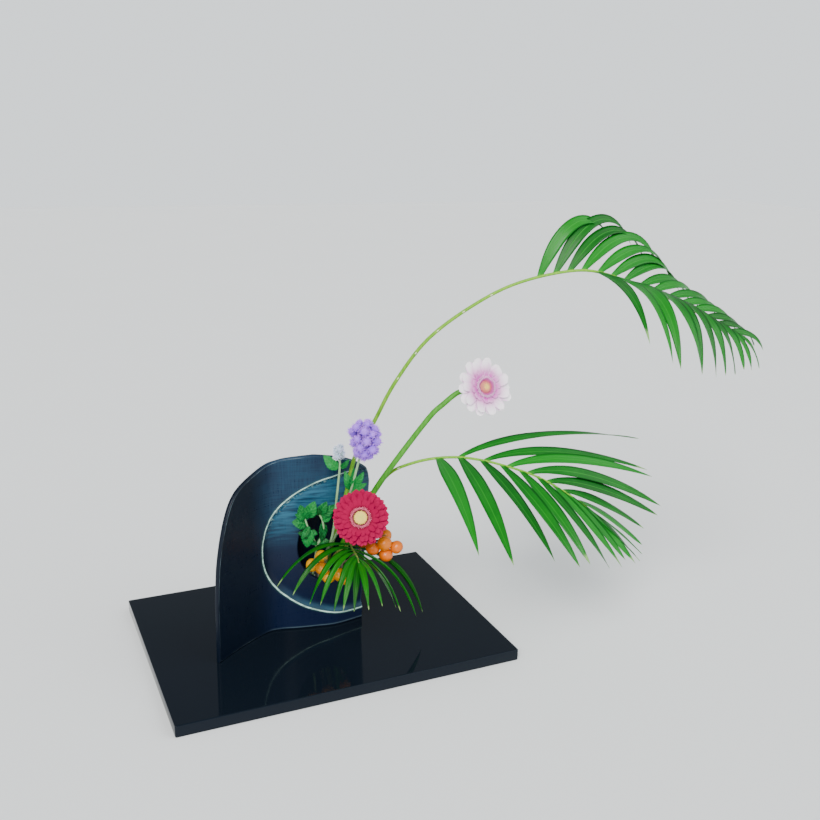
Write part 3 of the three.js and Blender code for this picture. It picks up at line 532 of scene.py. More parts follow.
def placed(points, flower):
    return np.asarray(points) @ facing_matrix(flower).T + vec(*flower["centre"])


def petal(builder, flower, turn, reach, half, height, lift, own):
    """Paddle-shaped petal with a rounded, faintly notched tip and shallow grooves."""
    lean, droop = (between(own, -PETAL[key], PETAL[key]) for key in ("lean", "droop"))
    tone = (own(), own())
    notch = flower["notch"] * between(own, 0.6, 1.4)
    v, u = cross_grid(PETAL["rows"], PETAL["columns"])
    widening = mix(PETAL["narrow"], 1, np.sin(math.pi / 2 * np.minimum(v / PETAL["widest"], 1)))
    past = np.maximum(0, (v - PETAL["closes"]) / (1 - PETAL["closes"]))
    wide = half * widening * (1 - flower["closing"] * past**2)
    dip = (0.5 - 0.5 * np.cos(3 * math.pi * u)) * v ** PETAL["notch_power"]
    tip = 1 - PETAL["round"] * np.abs(u) ** PETAL["round_power"] - notch * dip
    run = PETAL["root"] + (reach - PETAL["root"]) * v * tip
    waves = np.cos(FULL * u * PETAL["grooves"]) * np.sin(math.pi * np.minimum(v * PETAL["grooved"], 1))
    rise = height + lift * v ** PETAL["lift_power"] + droop * v**3
    rise = rise - flower["groove"] * waves - PETAL["curl"] * u * u * widening
    aside = wide * u + lean * run * v
    out, side = circling(turn), circling(turn - math.pi / 2)
    top = out * run[..., None] + side * aside[..., None] + vec(0, 0, 1) * rise[..., None]
    bottom = top - vec(0, 0, PETAL["thick"])
    pairs = flat_pairs(u, run / flower["radius"], run.shape)
    builder.sheet(placed(top, flower), placed(bottom, flower), 0, pairs, tone)


def lathe(builder, flower, profile, sides, slot=0, tone=MIDDLE):
    """Turned shape about the flower's axis, from points (radius, height) with both ends on the axis."""
    points, flat = [], []
    for k, (radius, height) in enumerate(profile[1:-1]):
        for turn in turns_of(sides):
            points.append(circling(turn, radius, height))
            flat.append((turn / FULL, k / (len(profile) - 3)))
    ends = [(0, 0, profile[0][1]), (0, 0, profile[-1][1])]
    builder.rings(placed(points, flower), placed(ends, flower), sides, slot, flat, tone)


def gerbera_petals(name, node, flower, skins):
    own = dice(flower["seed"] + 50)
    builder = Builder()
    base, low, high, edge = (RECEPTACLE[key] for key in ("radius", "low", "high", "edge"))
    under, above = base * RECEPTACLE["under"], base * RECEPTACLE["above"]
    rim = [(under, low), (base, low + edge), (base, high - edge), (above, high)]
    lathe(builder, flower, [(0, low), *rim, (0, high)], RECEPTACLE["sides"], 1)
    for reach, count, shift, height, lift, share in flower["layers"]:
        for index in range(count):
            turn = FULL * (index + shift + (own() - 0.5) * flower["spread"]) / count
            radius = flower["radius"] * reach * (1 - flower["uneven"] * own())
            half = flower["radius"] * share * between(own, 0.94, 1.04)
            petal(builder, flower, turn, radius, half, height + PETAL["stagger"] * (index % 2), lift, own)
    builder.piece(name, node, skins, 50)


def bump(builder, centre, axis, height, tone):
    """Small pointed floret bud."""
    side = unit(np.cross(axis, vec(0.3, 0.9, 0.2)))
    other = np.cross(axis, side)
    points = []
    for share, wide in BUMP:
        for turn in turns_of(6):
            out = side * math.cos(turn) + other * math.sin(turn)
            points.append(centre + axis * height * share + out * DISC["bump"] * wide)
    builder.rings(points, (centre, centre + axis * height), 6, 0, None, tone)


def gerbera_disc(name, node, flower, skins):
    """Dome of florets along a spiral, with a ring of short inner petals round it."""
    own = dice(flower["seed"] + 70)
    builder = Builder()
    low = RECEPTACLE["high"] + RECEPTACLE["gap"]
    radius, height = DISC["radius"], DISC["height"]
    foot = low + DISC["foot"]
    dome = [(radius * math.cos(t), foot + height * math.sin(t)) for t in np.linspace(*DISC["dome"], 8)]
    lathe(builder, flower, [(0, low), (radius, low), *dome, (0, foot + height)], 36)
    turn_matrix = facing_matrix(flower)
    for k in range(DISC["florets"]):
        share = math.sqrt((k + 0.5) / DISC["florets"])
        turn = k * GOLDEN
        z = low + DISC["sunk"] + height * math.sqrt(max(1 - share * share, 0.0))
        axis = turn_matrix @ unit(circling(turn, share * DISC["bump_lean"], 1))
        centre = placed(circling(turn, radius * DISC["spiral"] * share, z), flower)
        least, more = DISC["bump_height"]
        bump(builder, centre, axis, least + more * share**3, (share, own()))
    count, reach, rise = flower["ring"]
    for layer in range(2):
        for k in range(count):
            turn = FULL * (k + 0.5 * layer) / count
            stop = reach * (1 - DISC["shorter"] * layer) * between(own, 0.94, 1.04)
            line = []
            for v in DISC["petal_places"]:
                z = low + DISC["petal_low"] + (rise + layer) * math.sin(v * DISC["petal_arch"])
                line.append(circling(turn, mix(radius * DISC["petal_root"], stop, v), z))
            tone = (between(own, 0.3, 1), own())
            tube(builder, placed(line, flower), DISC["petal_radii"], 6, 1, tone)
    builder.piece(name, node, skins)


def gerbera_stem(name, node, flower, skins):
    own = dice(flower["seed"] + 90)
    builder = Builder()
    radius, length = CALYX["radius"], CALYX["length"]
    facing = unit(vec(*flower["face"]))
    back = vec(*flower["centre"]) - facing * (RECEPTACLE["high"] + RECEPTACLE["gap"] + length)
    line = smooth_line(flower["stem"] + [back, back + facing * length * 0.6], BLOOM_STEM["steps"])
    ripple = np.sin(np.linspace(0, BLOOM_STEM["ripples"], len(line))) * BLOOM_STEM["ripple"]
    tube(builder, line, np.linspace(*flower["stem_radius"], len(line)) + ripple, BLOOM_STEM["sides"])
    cup = dict(flower, centre=back)

    def swell(share):
        return mix(flower["stem_radius"][1], radius, math.sin(share * math.pi / 2) ** CALYX["swell"])

    profile = [(swell(share), length * share) for share in np.linspace(0, 1, 9)]
    lathe(builder, cup, [(0, 0), *profile, (0, length)], 32)
    for row in range(CALYX["rows"]):
        low = length * (CALYX["first_row"] + CALYX["row_step"] * row)
        heights = np.linspace(low, min(low + CALYX["scale"], length - CALYX["rim"]), len(CALYX["radii"]))
        for k in range(CALYX["scales"]):
            turn = FULL * (k + 0.5 * row) / CALYX["scales"]
            line = placed([circling(turn, swell(z / length) + CALYX["lift"], z) for z in heights], cup)
            tube(builder, line, CALYX["radii"], 6, 0, (own(), own()))
    builder.piece(name, node, skins)


# Floss flowers: small fluffy heads packed round an oval

FLOSS = {
    "centre": (42, -59, 286), "half": (15, 14, 23), "balls": 34, "ball": 6.4, "hairs": 84, "seed": 5,
    "stem": [(16, 40, STEM_FOOT), (21, 10, 112), (27, -22, 165), (31, -42, 215), (37, -55, 262)],
    "stem_radius": (1.9, 1.5),
}
BUDS = {
    "centre": (15, -41, 267), "half": (5, 4, 7), "balls": 10, "ball": 4.6, "hairs": 80, "seed": 9,
    "stem": [
        (9, 33, STEM_FOOT), (13, 6, 105), (14.5, -22, 151), (14, -38, 208), (16, -43, 250),
        (15.5, -41.5, 257.4),
    ],
    "stem_radius": (1.9, 1.3),
}
FLOSS_LEAVES = [
    ((31, -42, 216), (22, -44, 243), 5.5, (-0.3, -1, 0.3)),
    ((31, -42, 217), (33, -47, 247), 5, (0, -1, 0.2)),
    ((31.5, -43, 220), (45, -50, 241), 5.5, (0.2, -1, 0.4)),
    ((31, -42, 214), (48, -52, 226), 5, (0.2, -1, 0.6)),
]
BUD_LEAVES = [
    ((14, -41, 245), (-1, -31, 262), 7, (-0.3, -1, 0.2)),
    ((16, -42, 246), (27, -46, 258), 4, (0.3, -1, 0.2)),
]
SPRIG = {
    "stem": [
        (1, 31, STEM_FOOT), (0, 10, 92), (-3, -9, 131), (-11, -13, 150), (-17, -14, 166), (-20, -14, 176),
    ],
    "branch": [(-3, -9, 131), (4, -14, 149), (4, -15, 166), (-2, -15, 180)],
    "radius": (1.9, 1.1),
}
SPRIG_LEAVES = [
    ((-11, -13, 150), (-29, -14, 156), 6, (-0.3, -1, 0.4)),
    ((-17, -14, 167), (-36, -12, 171), 8, (-0.3, -1, 0.4)),
    ((-19, -14, 172), (-26, -15, 194), 8, (-0.4, -1, 0.3)),
    ((-18, -14, 175), (-7, -17, 197), 8.5, (-0.1, -1, 0.2)),
    ((-2, -15, 178), (8, -19, 195), 6.5, (0.1, -1, 0.5)),
    ((1, -15, 174), (19, -20, 190), 6.5, (0.2, -1, 0.6)),
    ((4, -14, 166), (2, -14, 138), 6.5, (0.2, -1, -0.1)),
    ((-15, -14, 160), (-17, -14, 134), 8, (-0.3, -1, 0)),
    ((-3, -10, 134), (12, -16, 140), 7, (0.1, -0.8, 1)),
]
# Smaller leaves between the others, left out of the solids
SPRIG_SMALL = [
    ((-19, -15, 175), (-33, -16, 183), 5, (-0.2, -1, 0.3)),
    ((-18, -15, 176), (-17, -19, 190), 4.5, (-0.1, -1, 0.4)),
    ((-14, -15, 163), (-25, -18, 149), 4.5, (-0.3, -1, 0.1)),
    ((-13, -14, 155), (-4, -18, 152), 4, (0.2, -1, 0.3)),
    ((3, -16, 168), (14, -20, 176), 4, (0.2, -1, 0.3)),
    ((-1, -16, 177), (-5, -19, 188), 4, (-0.1, -1, 0.3)),
    ((-4, -12, 140), (-12, -17, 139), 4.5, (-0.1, -1, 0.5)),
]
HAIR = {"core": 0.72, "inmost": -0.35, "places": (0.45, 0.75, 1), "radii": (0.42, 0.38, 0.16)}


def spread(centre, half, count):
    """Points spread evenly over an oval by the golden angle."""
    out = []
    for index in range(count):
        height = 1 - 2 * (index + 0.5) / count
        way = circling(index * GOLDEN, math.sqrt(1 - height * height), height)
        out.append(vec(*centre) + way * vec(*half))
    return out


def ball_of_hairs(builder, centre, outwards, radius, hairs, own):
    """Pale core with fine bent hairs, most of them on the outer side."""
    core = dict(centre=centre, face=outwards + vec(0.001, 0.002, 0))
    size = radius * HAIR["core"]
    profile = [(size * math.sin(t), -size * math.cos(t)) for t in np.linspace(0, math.pi, 9)]
    lathe(builder, core, profile, 12, 0, (0.2, own()))
    shade = own()
    for direction in spread((0, 0, 0), (1, 1, 1), hairs):
        way = unit(direction + wobble(own) * 0.5)
        if way @ outwards < HAIR["inmost"]:
            continue
        bend = wobble(own, -0.2) * 0.35
        length = radius * between(own, 0.86, 1.16)
        line = [centre + unit(way + bend * share) * length * share for share in HAIR["places"]]
        tube(builder, np.array(line), HAIR["radii"], 4, 1, (shade, own()))


def fluffy_head(name, node, head, skins):
    own = dice(head["seed"])
    builder = Builder()
    middle, size = vec(*head["centre"]), head["ball"]
    outer = [half - size * 0.15 for half in head["half"]]
    inner = [half * 0.5 for half in outer]
    for point in spread(middle, outer, head["balls"]) + spread(middle, inner, head["balls"] // 4):
        outwards = unit((point - middle) / np.array(head["half"]))
        centre = point + wobble(own) * size * 0.5 + outwards * size * 0.1
        ball_of_hairs(builder, centre, outwards, size * between(own, 0.85, 1.2), head["hairs"], own)
    builder.piece(name, node, skins)


def leafy_stem(name, node, stems, leaves, seed, skins):
    own = dice(seed)
    builder = Builder()
    for points, radii, steps in stems:
        tube(builder, smooth_line(points, steps), np.linspace(*radii, steps + 1), 12, 1)
    for base, tip, half, face in leaves:
        leaf(builder, base, tip, half, face, own)
    builder.piece(name, node, skins)


# Fruit and twigs

FRUIT_LEFT = [
    (-12.6, -21, 112, 8.5), (-1, -23, 123, 8.2), (-3.6, -33.5, 111, 8.5),
    (5, -33.5, 98, 8.5), (17, -42, 103, 8.5), (27, -37, 93, 8),
]
FRUIT_RIGHT = [
    (75, -50, 151, 8.5), (68, -65, 147.5, 9.5), (83.5, -67.5, 141, 8.5),
    (55, -58, 140, 9), (70.5, -64, 131, 9), (47, -45.5, 146, 8.5),
]
TWIG_LEFT = {
    "points": [(5, 16, STEM_FOOT), (7, 9, 80), (6.5, -6, 92), (5, -17, 102), (1.5, -25.1, 111.8)],
    "radius": (2, 1.5),
}
TWIG_RIGHT = {
    "points": [
        (34, 10, STEM_FOOT), (37, 4, 92.5), (40, -8, 102), (46, -22, 119), (57, -41, 140), (64.8, -54.8, 148),
    ],
    "radius": (2.2, 1.5),
}

FRUIT = {
    "rings": 26, "sides": 40, "flat": 0.96, "dimple": (0.085, 0.3), "navel": (0.05, 0.22), "lobes": 5,
    "lobe": 0.012, "ends": (-0.93, 0.91),
}
SEPAL = {
    "count": 5, "line": ((0, 0.99), (1.0, 1.02), (2.0, 1.01), (2.8, 0.985)), "radii": (0.5, 0.7, 0.5, 0.12),
}
STALK = {"line": ((0, 0, 0.85), (0, 0, 0.95), (0.2, 0.1, 1.04)), "radii": (0.7, 0.65, 0.6)}
KNOTS = {"places": (0.2, 0.38, 0.55, 0.7, 0.84), "swell": 0.35, "reach": 0.012, "grain": 0.12}


def dent(angle, depth, reach):
    return depth * math.exp(-((angle / reach) ** 2))


def fruit(builder, centre, radius, middle, own):
    """Round fruit, a little flattened, with a dimpled stalk end turned to the twig and a dark navel."""
    stalk = unit(unit(middle - centre) + wobble(own, 0.2) * 0.9)
    here = dict(centre=centre, face=stalk)
    points, flat, rings = [], [], FRUIT["rings"]
    for k in range(1, rings):
        tilt = math.pi * k / rings
        dents = dent(tilt, *FRUIT["dimple"]) + dent(math.pi - tilt, *FRUIT["navel"])
        for turn in turns_of(FRUIT["sides"]):
            lobe = 1 + FRUIT["lobe"] * math.cos(FRUIT["lobes"] * turn) * math.sin(tilt) ** 2
            r = radius * (1 - dents) * lobe
            points.append(circling(turn, r * math.sin(tilt), -r * FRUIT["flat"] * math.cos(tilt)))
            flat.append((turn / FULL, k / rings))
    ends = [(0, 0, radius * share * FRUIT["flat"]) for share in FRUIT["ends"]]
    builder.rings(placed(points, here), placed(ends, here), FRUIT["sides"], 0, flat, (own(), own()))
    for turn in turns_of(SEPAL["count"]):
        line = [circling(turn, out, radius * 0.9 * height) for out, height in SEPAL["line"]]
        tube(builder, placed(line, here), SEPAL["radii"], 6, 1, (own(), own()))
    line = [(x, y, radius * height) for x, y, height in STALK["line"]]
    tube(builder, placed(line, here), STALK["radii"], 8, 1)


def fruit_bunch(name, node, fruits, seed, skins):
    own = dice(seed)
    builder = Builder()
    middle = np.mean([f[:3] for f in fruits], axis=0)
    for x, y, z, radius in fruits:
        fruit(builder, vec(x, y, z), radius, middle, own)
    builder.piece(name, node, skins)


def twig(name, node, plant, seed, skins):
    own = dice(seed)
    builder = Builder()
    line = smooth_line(plant["points"], 70)
    shares = np.linspace(0, 1, len(line))
    knots = sum(KNOTS["swell"] * np.exp(-(((shares - at) / KNOTS["reach"]) ** 2)) for at in KNOTS["places"])
    grain = np.array([own() - 0.5 for _ in shares]) * KNOTS["grain"]
    tube(builder, line, mix(*plant["radius"], shares) + knots + grain, 12)
    builder.piece(name, node, skins)


# Vase, drawn flat with X along the slab, Y back and Z up, then bent round the plan

VASE_FOOT = 15.3
PLAN = [(-140, -48), (-102, -20), (-66, 0), (-48, 1.5), (-25, -4), (0, -8.5), (25, -11.5), (64, -5)]
SLAB_THICK = 5.5
SLAB_LEFT = [(-1, 0), (-1, 78), (4, 130), (18, 178), (38, 208), (75, 225.5), (112, 236), (150, 239.5)]
SLAB_RIGHT = [(150, 239.5), (185, 234), (212, 222), (227, 209), (231, 192)]
SLAB_FOOT = (220, 0)
DISH = {"along": 209, "height": 114, "half_wide": 127, "half_high": 99, "depth": 3.5, "fillet": 6}
BULGE = {"depth": 6, "start": 7, "run": 13}
MOUTH = {"along": 171, "height": 114, "half_wide": 41, "half_high": 50}
TANK = {
    "left": 122, "right": 217, "top": 173, "depth": 70, "corner": 26, "wall": 5, "floor": 6, "shoulder": 12,
    "outer_front": 4.0, "inner_front": 7.0,
}
RIM = 1.6
GRID = 3.2
HEIGHT = 240
EDGE_REACH = 20
RING_SHARES = (1.03, 1.012, 1.0, 0.99, 0.978, 0.962, 0.942, 0.92)
BARE = (0.75, 0.5)

PLAN_LINE = clamped_line(PLAN, 200)
PLAN_RUN = run_of(PLAN_LINE)


def on_plan(along):
    return np.column_stack([np.interp(along, PLAN_RUN, column) for column in PLAN_LINE.T])


def bent(points):
    """Flat points (along, back, height) on the curved slab."""
    p = np.asarray(points, float)
    along = np.clip(p[:, 0], 0, PLAN_RUN[-1])
    after, before = (on_plan(np.clip(along + step, 0, PLAN_RUN[-1])) for step in (0.5, -0.5))
    way = units(after - before)
    back = np.column_stack([-way[:, 1], way[:, 0]])
    plan = on_plan(along) + way * (p[:, 0] - along)[:, None] + back * p[:, 1:2]
    return np.column_stack([plan, p[:, 2] + VASE_FOOT])


def oval(s, h):
    """1 on the dish's edge, less inside it."""
    return np.hypot((s - DISH["along"]) / DISH["half_wide"], (h - DISH["height"]) / DISH["half_high"])


def in_mouth(s, h, more):
    wide, high = MOUTH["half_wide"] + more, MOUTH["half_high"] + more
    return np.hypot((s - MOUTH["along"]) / wide, (h - MOUTH["height"]) / high) < 1


def smooth_step(value):
    t = np.clip(value, 0, 1)
    return t * t * (3 - 2 * t)


def front_depth(s, h):
    inside = (1 - oval(s, h)) * DISH["half_high"]
    return DISH["depth"] * smooth_step(inside / DISH["fillet"] + 0.04)


def back_depth(s, h):
    inside = (1 - oval(s, h)) * DISH["half_high"]
    return SLAB_THICK + BULGE["depth"] * smooth_step((inside + BULGE["start"]) / BULGE["run"])


def slab_outline():
    left = clamped_line(SLAB_LEFT[1:], 16)
    right = clamped_line(SLAB_RIGHT, 12)
    loop = np.vstack([[SLAB_LEFT[0]], left, right[1:], [SLAB_FOOT], [SLAB_LEFT[0]]])
    return spaced(loop, int(run_of(loop)[-1] / GRID))[:-1]


def inset(loop, distance):
    """Loop moved inwards. The loop runs clockwise."""
    ahead = units(np.roll(loop, -1, axis=0) - np.roll(loop, 1, axis=0))
    return loop + np.column_stack([ahead[:, 1], -ahead[:, 0]]) * distance


def inside_loop(points, loop):
    """Which points lie inside the loop."""
    x, y = points[:, :1], points[:, 1:]
    (ax, ay), (bx, by) = loop.T, np.roll(loop, -1, axis=0).T
    crosses = (ay > y) != (by > y)
    with np.errstate(divide="ignore", invalid="ignore"):
        at = (bx - ax) * (y - ay) / (by - ay) + ax
    return (np.sum(crosses & (x < at), axis=1) % 2) == 1


def ellipse(shape, count, share=1.0, more=0.0):
    turns = turns_of(count)
    return np.column_stack([
        shape["along"] + (shape["half_wide"] * share + more) * np.cos(turns),
        shape["height"] + (shape["half_high"] * share + more) * np.sin(turns),
    ])


def mouth_loop(more):
    return ellipse(MOUTH, 96, 1, more)


def face_mesh(outline):
    """Flat triangles of the slab's face: points (along, height) and faces between the edge loops."""
    edge, hole = inset(outline, RIM), mouth_loop(RIM)
    s, h = (side.ravel() for side in np.meshgrid(np.arange(0, 232, GRID), np.arange(1, HEIGHT, GRID)))
    away = np.abs(oval(s, h) - 0.975) > 0.075
    rings = [ellipse(DISH, 300, share) for share in RING_SHARES]
    extra = np.vstack([*rings, np.column_stack([s, h])[away]])
    keep = inside_loop(extra, inset(outline, RIM + 1.0)) & ~in_mouth(*extra.T, RIM + 1.2)
    points = np.vstack([edge, hole, extra[keep]])
    edges = [(k, (k + 1) % len(edge)) for k in range(len(edge))]
    edges += [(len(edge) + k, len(edge) + (k + 1) % len(hole)) for k in range(len(hole))]
    made = delaunay_2d_cdt([Vector(p) for p in points], edges, [], 1, 1e-4)
    flat = np.array([tuple(v) for v in made[0]])
    faces = [list(face) for face in made[2] if not in_mouth(*flat[list(face)].mean(0), RIM - 0.05)]
    a, b, c = (flat[[face[k] for face in faces]] for k in range(3))
    (ux, uy), (vx, vy) = (b - a).T, (c - a).T
    clockwise = np.sum(ux * vy - uy * vx) < 0
    return flat, [face[::-1] for face in faces] if clockwise else faces


def vase(skin):
    builder = Builder()
    outline = slab_outline()
    flat, faces = face_mesh(outline)
    s, h = flat.T
    rim_gap = np.clip([np.min(np.hypot(*(outline - p).T)) / EDGE_REACH for p in flat], 0, 1)
    pairs = list(zip(s / HEIGHT, h / HEIGHT))
    tone = list(zip(oval(s, h) / 2, rim_gap))
    back_tone = [(BARE[0], gap) for gap in rim_gap]
    builder.add(bent(np.column_stack([s, front_depth(s, h), h])), faces, 0, pairs, tone)
    backs = [face[::-1] for face in faces]
    builder.add(bent(np.column_stack([s, back_depth(s, h), h])), backs, 0, pairs, back_tone)
    edge_strip(builder, outline, inset(outline, RIM), 0.0)
    edge_strip(builder, mouth_loop(0), mouth_loop(RIM), 1.0)
    tank_skin(builder, 0, TANK["outer_front"], 0.0, TANK["top"], True)
    tank_skin(builder, TANK["wall"], TANK["inner_front"], TANK["floor"], TANK["top"] - TANK["wall"], False)
    builder.piece("glazed_vase", "vase", [skin], 40)


def rounding(steps):
    return np.linspace(0, math.pi / 2, steps)


def edge_strip(builder, edge, face, gap):
    """Rounded edge from the front face over the edge to the back face. gap is its glaze value."""
    front, back = front_depth(*face.T), back_depth(*face.T)
    turns = rounding(5)
    rings = []
    for turn, depth, side in [(t, front, 1) for t in turns] + [(t, back, -1) for t in turns[::-1]]:
        s, h = mix(face, edge, math.sin(turn)).T
        rings.append(np.column_stack([s, depth + side * RIM * (1 - math.cos(turn)), h]))
    points = np.vstack(rings)
    s, _, h = points.T
    tone = [(ring, gap) for ring in oval(s, h) / 2]
    faces = grid_faces(len(rings), len(edge), True)
    builder.add(bent(points), faces, 0, list(zip(s / HEIGHT, h / HEIGHT)), tone)


def tank_path(inset_by, front):
    """Outline of the tank from above, from the slab round its back and to the slab again."""
    left, right = TANK["left"] + inset_by, TANK["right"] - inset_by
    deep, corner = TANK["depth"] - inset_by, TANK["corner"] - inset_by
    cosine, sine = np.cos(rounding(12)[1:]) * corner, np.sin(rounding(12)[1:]) * corner
    path = [(left, y) for y in np.linspace(front, deep - corner, 14)]
    path += zip(left + corner - cosine, deep - corner + sine)
    path += [(x, deep) for x in np.linspace(left + corner, right - corner, 14)[1:]]
    path += zip(right - corner + sine, deep - corner + cosine)
    path += [(right, y) for y in np.linspace(deep - corner, front, 14)[1:]]
    return np.array(path)


def tank_skin(builder, wall, front, bottom, top, outwards):
    """Inner or outer surface of the tank's wall, open towards the slab."""
    shoulder = TANK["shoulder"]
    levels = [(0.0, z) for z in np.linspace(bottom, top - shoulder, 40)]
    for turn in rounding(8)[1:]:
        levels.append((shoulder * (1 - math.cos(turn)), top - shoulder + shoulder * math.sin(turn)))
    levels.append((shoulder + 3, top))
    points = np.vstack([[(x, y, z) for x, y in tank_path(wall + more, front)] for more, z in levels])
    count = len(points) // len(levels)
    faces = grid_faces(len(levels), count)
    faces += [list(range(len(points) - count, len(points))), list(range(count))[::-1]]
    if outwards:
        faces = [f[::-1] for f in faces]
    pairs = list(zip((points[:, 0] + points[:, 1]) / HEIGHT, points[:, 2] / HEIGHT))
    builder.add(bent(points), faces, 0, pairs, BARE)


# Board

BOARD = {"length": 435, "width": 313, "thick": 15, "edge": 1.2, "corner": 2.0, "least_corner": 0.4, "lid": 1}
CORNERS = ((0, 1, 1), (90, -1, 1), (180, -1, -1), (270, 1, -1))


def board_ring(shrink, z):
    x, y = BOARD["length"] / 2 - shrink, BOARD["width"] / 2 - shrink
    r = max(BOARD["corner"] - shrink, BOARD["least_corner"])
    return [
        circling(math.radians(start + t), r, z) + vec(way_x * (x - r), way_y * (y - r), 0)
        for start, way_x, way_y in CORNERS for t in np.linspace(0, 90, 6)
    ]


def board(skin):
    builder = Builder()
    edge, thick, turns = BOARD["edge"], BOARD["thick"], rounding(6)
    low = [(edge * (1 - math.cos(t)), edge * (1 - math.sin(t))) for t in turns[::-1]]
    high = [(edge * (1 - math.cos(t)), thick - edge * (1 - math.sin(t))) for t in turns]
    levels = [(edge + BOARD["lid"], 0), *low, *high, (edge + BOARD["lid"], thick)]
    rings = [board_ring(*level) for level in levels]
    builder.rings(np.vstack(rings), [(0, 0, 0), (0, 0, thick)], len(rings[0]))
    builder.piece("lacquer_board", "board", [skin], 40)


# Materials


class Value:
    """Output of a node, which can be reckoned with like a number."""

    def __init__(self, wiring, socket):
        self.wiring, self.socket = wiring, socket

    def __add__(self, other):
        return self.wiring.maths("ADD", self, other)

    def __sub__(self, other):
        return self.wiring.maths("SUBTRACT", self, other)

    def __rsub__(self, other):
        return self.wiring.maths("SUBTRACT", other, self)

    def __mul__(self, other):
        return self.wiring.maths("MULTIPLY", self, other)

    def __pow__(self, other):
        return self.wiring.maths("POWER", self, other)

    def __abs__(self):
        return self.wiring.maths("ABSOLUTE", self)


class Wiring:
    """Helpers that add nodes to a tree and wire them."""

    def __init__(self, owner, shader):
        owner.use_nodes = True
        self.tree = owner.node_tree
        self.shader = self.tree.nodes[shader]

    def node(self, kind, inputs=(), output=0, **settings):
        """Output of a new node, with values or other outputs at its inputs."""
        made = self.tree.nodes.new(kind)
        for label, value in settings.items():
            setattr(made, label, value)
        for label, value in dict(inputs).items():
            self.feed(made.inputs[label], value)
        return Value(self, made.outputs[output])

    def feed(self, socket, value):
        if isinstance(value, Value):
            self.tree.links.new(value.socket, socket)
        elif isinstance(value, tuple) and len(value) == 3 and len(socket.default_value) == 4:
            socket.default_value = (*value, 1)
        else:
            socket.default_value = value

    def maths(self, operation, a, b=0.0):
        return self.node("ShaderNodeMath", {0: a, 1: b}, operation=operation)

    def parts(self, vector):
        node = self.node("ShaderNodeSeparateXYZ", {0: vector}).socket.node
        return [Value(self, socket) for socket in node.outputs]

    def spread(self, value, low, high, new_low=0.0, new_high=1.0):
        """value from low..high to new_low..new_high, smooth and held at the ends."""
        ends = {"From Min": low, "From Max": high, "To Min": new_low, "To Max": new_high}
        return self.node("ShaderNodeMapRange", {"Value": value, **ends}, interpolation_type="SMOOTHSTEP")


class Skin(Wiring):
    """One material of the arrangement, painted tone over tone."""

    def __init__(self, name, colour, roughness, **settings):
        self.material = bpy.data.materials.new(name)
        super().__init__(self.material, "Principled BSDF")
        self.feed(self.shader.inputs["Base Color"], colour)
        self.feed(self.shader.inputs["Roughness"], roughness)
        for label, value in settings.items():
            self.feed(self.shader.inputs[label.replace("_", " ")], value)

    def layer(self, name):
        """The two numbers of a flat coordinate layer."""
        return self.parts(self.node("ShaderNodeUVMap", output="UV", uv_map=name))[:2]

    def stretched(self, scale, vector=None):
        """The vector, or else the place on the part, stretched along its axes."""
        vector = vector or self.place()
        return self.node("ShaderNodeMapping", {"Vector": vector, "Scale": scale})

    def place(self):
        return self.node("ShaderNodeTexCoord", output="Object")

    def noise(self, scale, detail, distortion=0.0, at=None):
        settings = {"Scale": scale, "Detail": detail, "Distortion": distortion}
        return self.node("ShaderNodeTexNoise", {"Vector": at or self.place(), **settings})

    def cells(self, scale):
        return self.node("ShaderNodeTexVoronoi", {"Vector": self.place(), "Scale": scale}, "Distance")

    def blend(self, share, low, high):
        """Colour the surface from one tone to another by a share from 0 to 1."""
        self.tone = self.node("ShaderNodeMix", {"Factor": share, 6: low, 7: high}, 2, data_type="RGBA")
        self.feed(self.shader.inputs["Base Color"], self.tone)

    def over(self, share, tone):
        """Lay a tone over the colour so far."""
        self.blend(share, self.tone, tone)

    def ridge(self, value, frequency):
        """Even waves from 0 to 1 along a value."""
        return self.maths("SINE", value * (frequency * FULL)) * 0.5 + 0.5

    def rough(self, value):
        self.feed(self.shader.inputs["Roughness"], value)

    def relief(self, height, strength, distance):
        bump_inputs = {"Strength": strength, "Distance": distance, "Height": height}
        self.feed(self.shader.inputs["Normal"], self.node("ShaderNodeBump", bump_inputs))


def mottled(name, colour, roughness, scale, detail, low, high, **settings):
    """Material whose colour wanders between two tones."""
    s = Skin(name, colour, roughness, **settings)
    s.blend(s.noise(scale, detail), low, high)
    return s


def lacquer_skin():
    tones = ((0.0032, 0.006, 0.011), (0.005, 0.0085, 0.014))
    gloss = {"IOR": 1.38, "Specular_IOR_Level": 0.22}
    s = mottled("black_lacquer", (0.006, 0.01, 0.017), 0.06, 5, 3, *tones, **gloss)
    s.rough(s.spread(s.noise(30, 5), 0.3, 0.7, 0.04, 0.09))
    s.relief(s.noise(130, 2), 0.02, 0.0004)
    return s


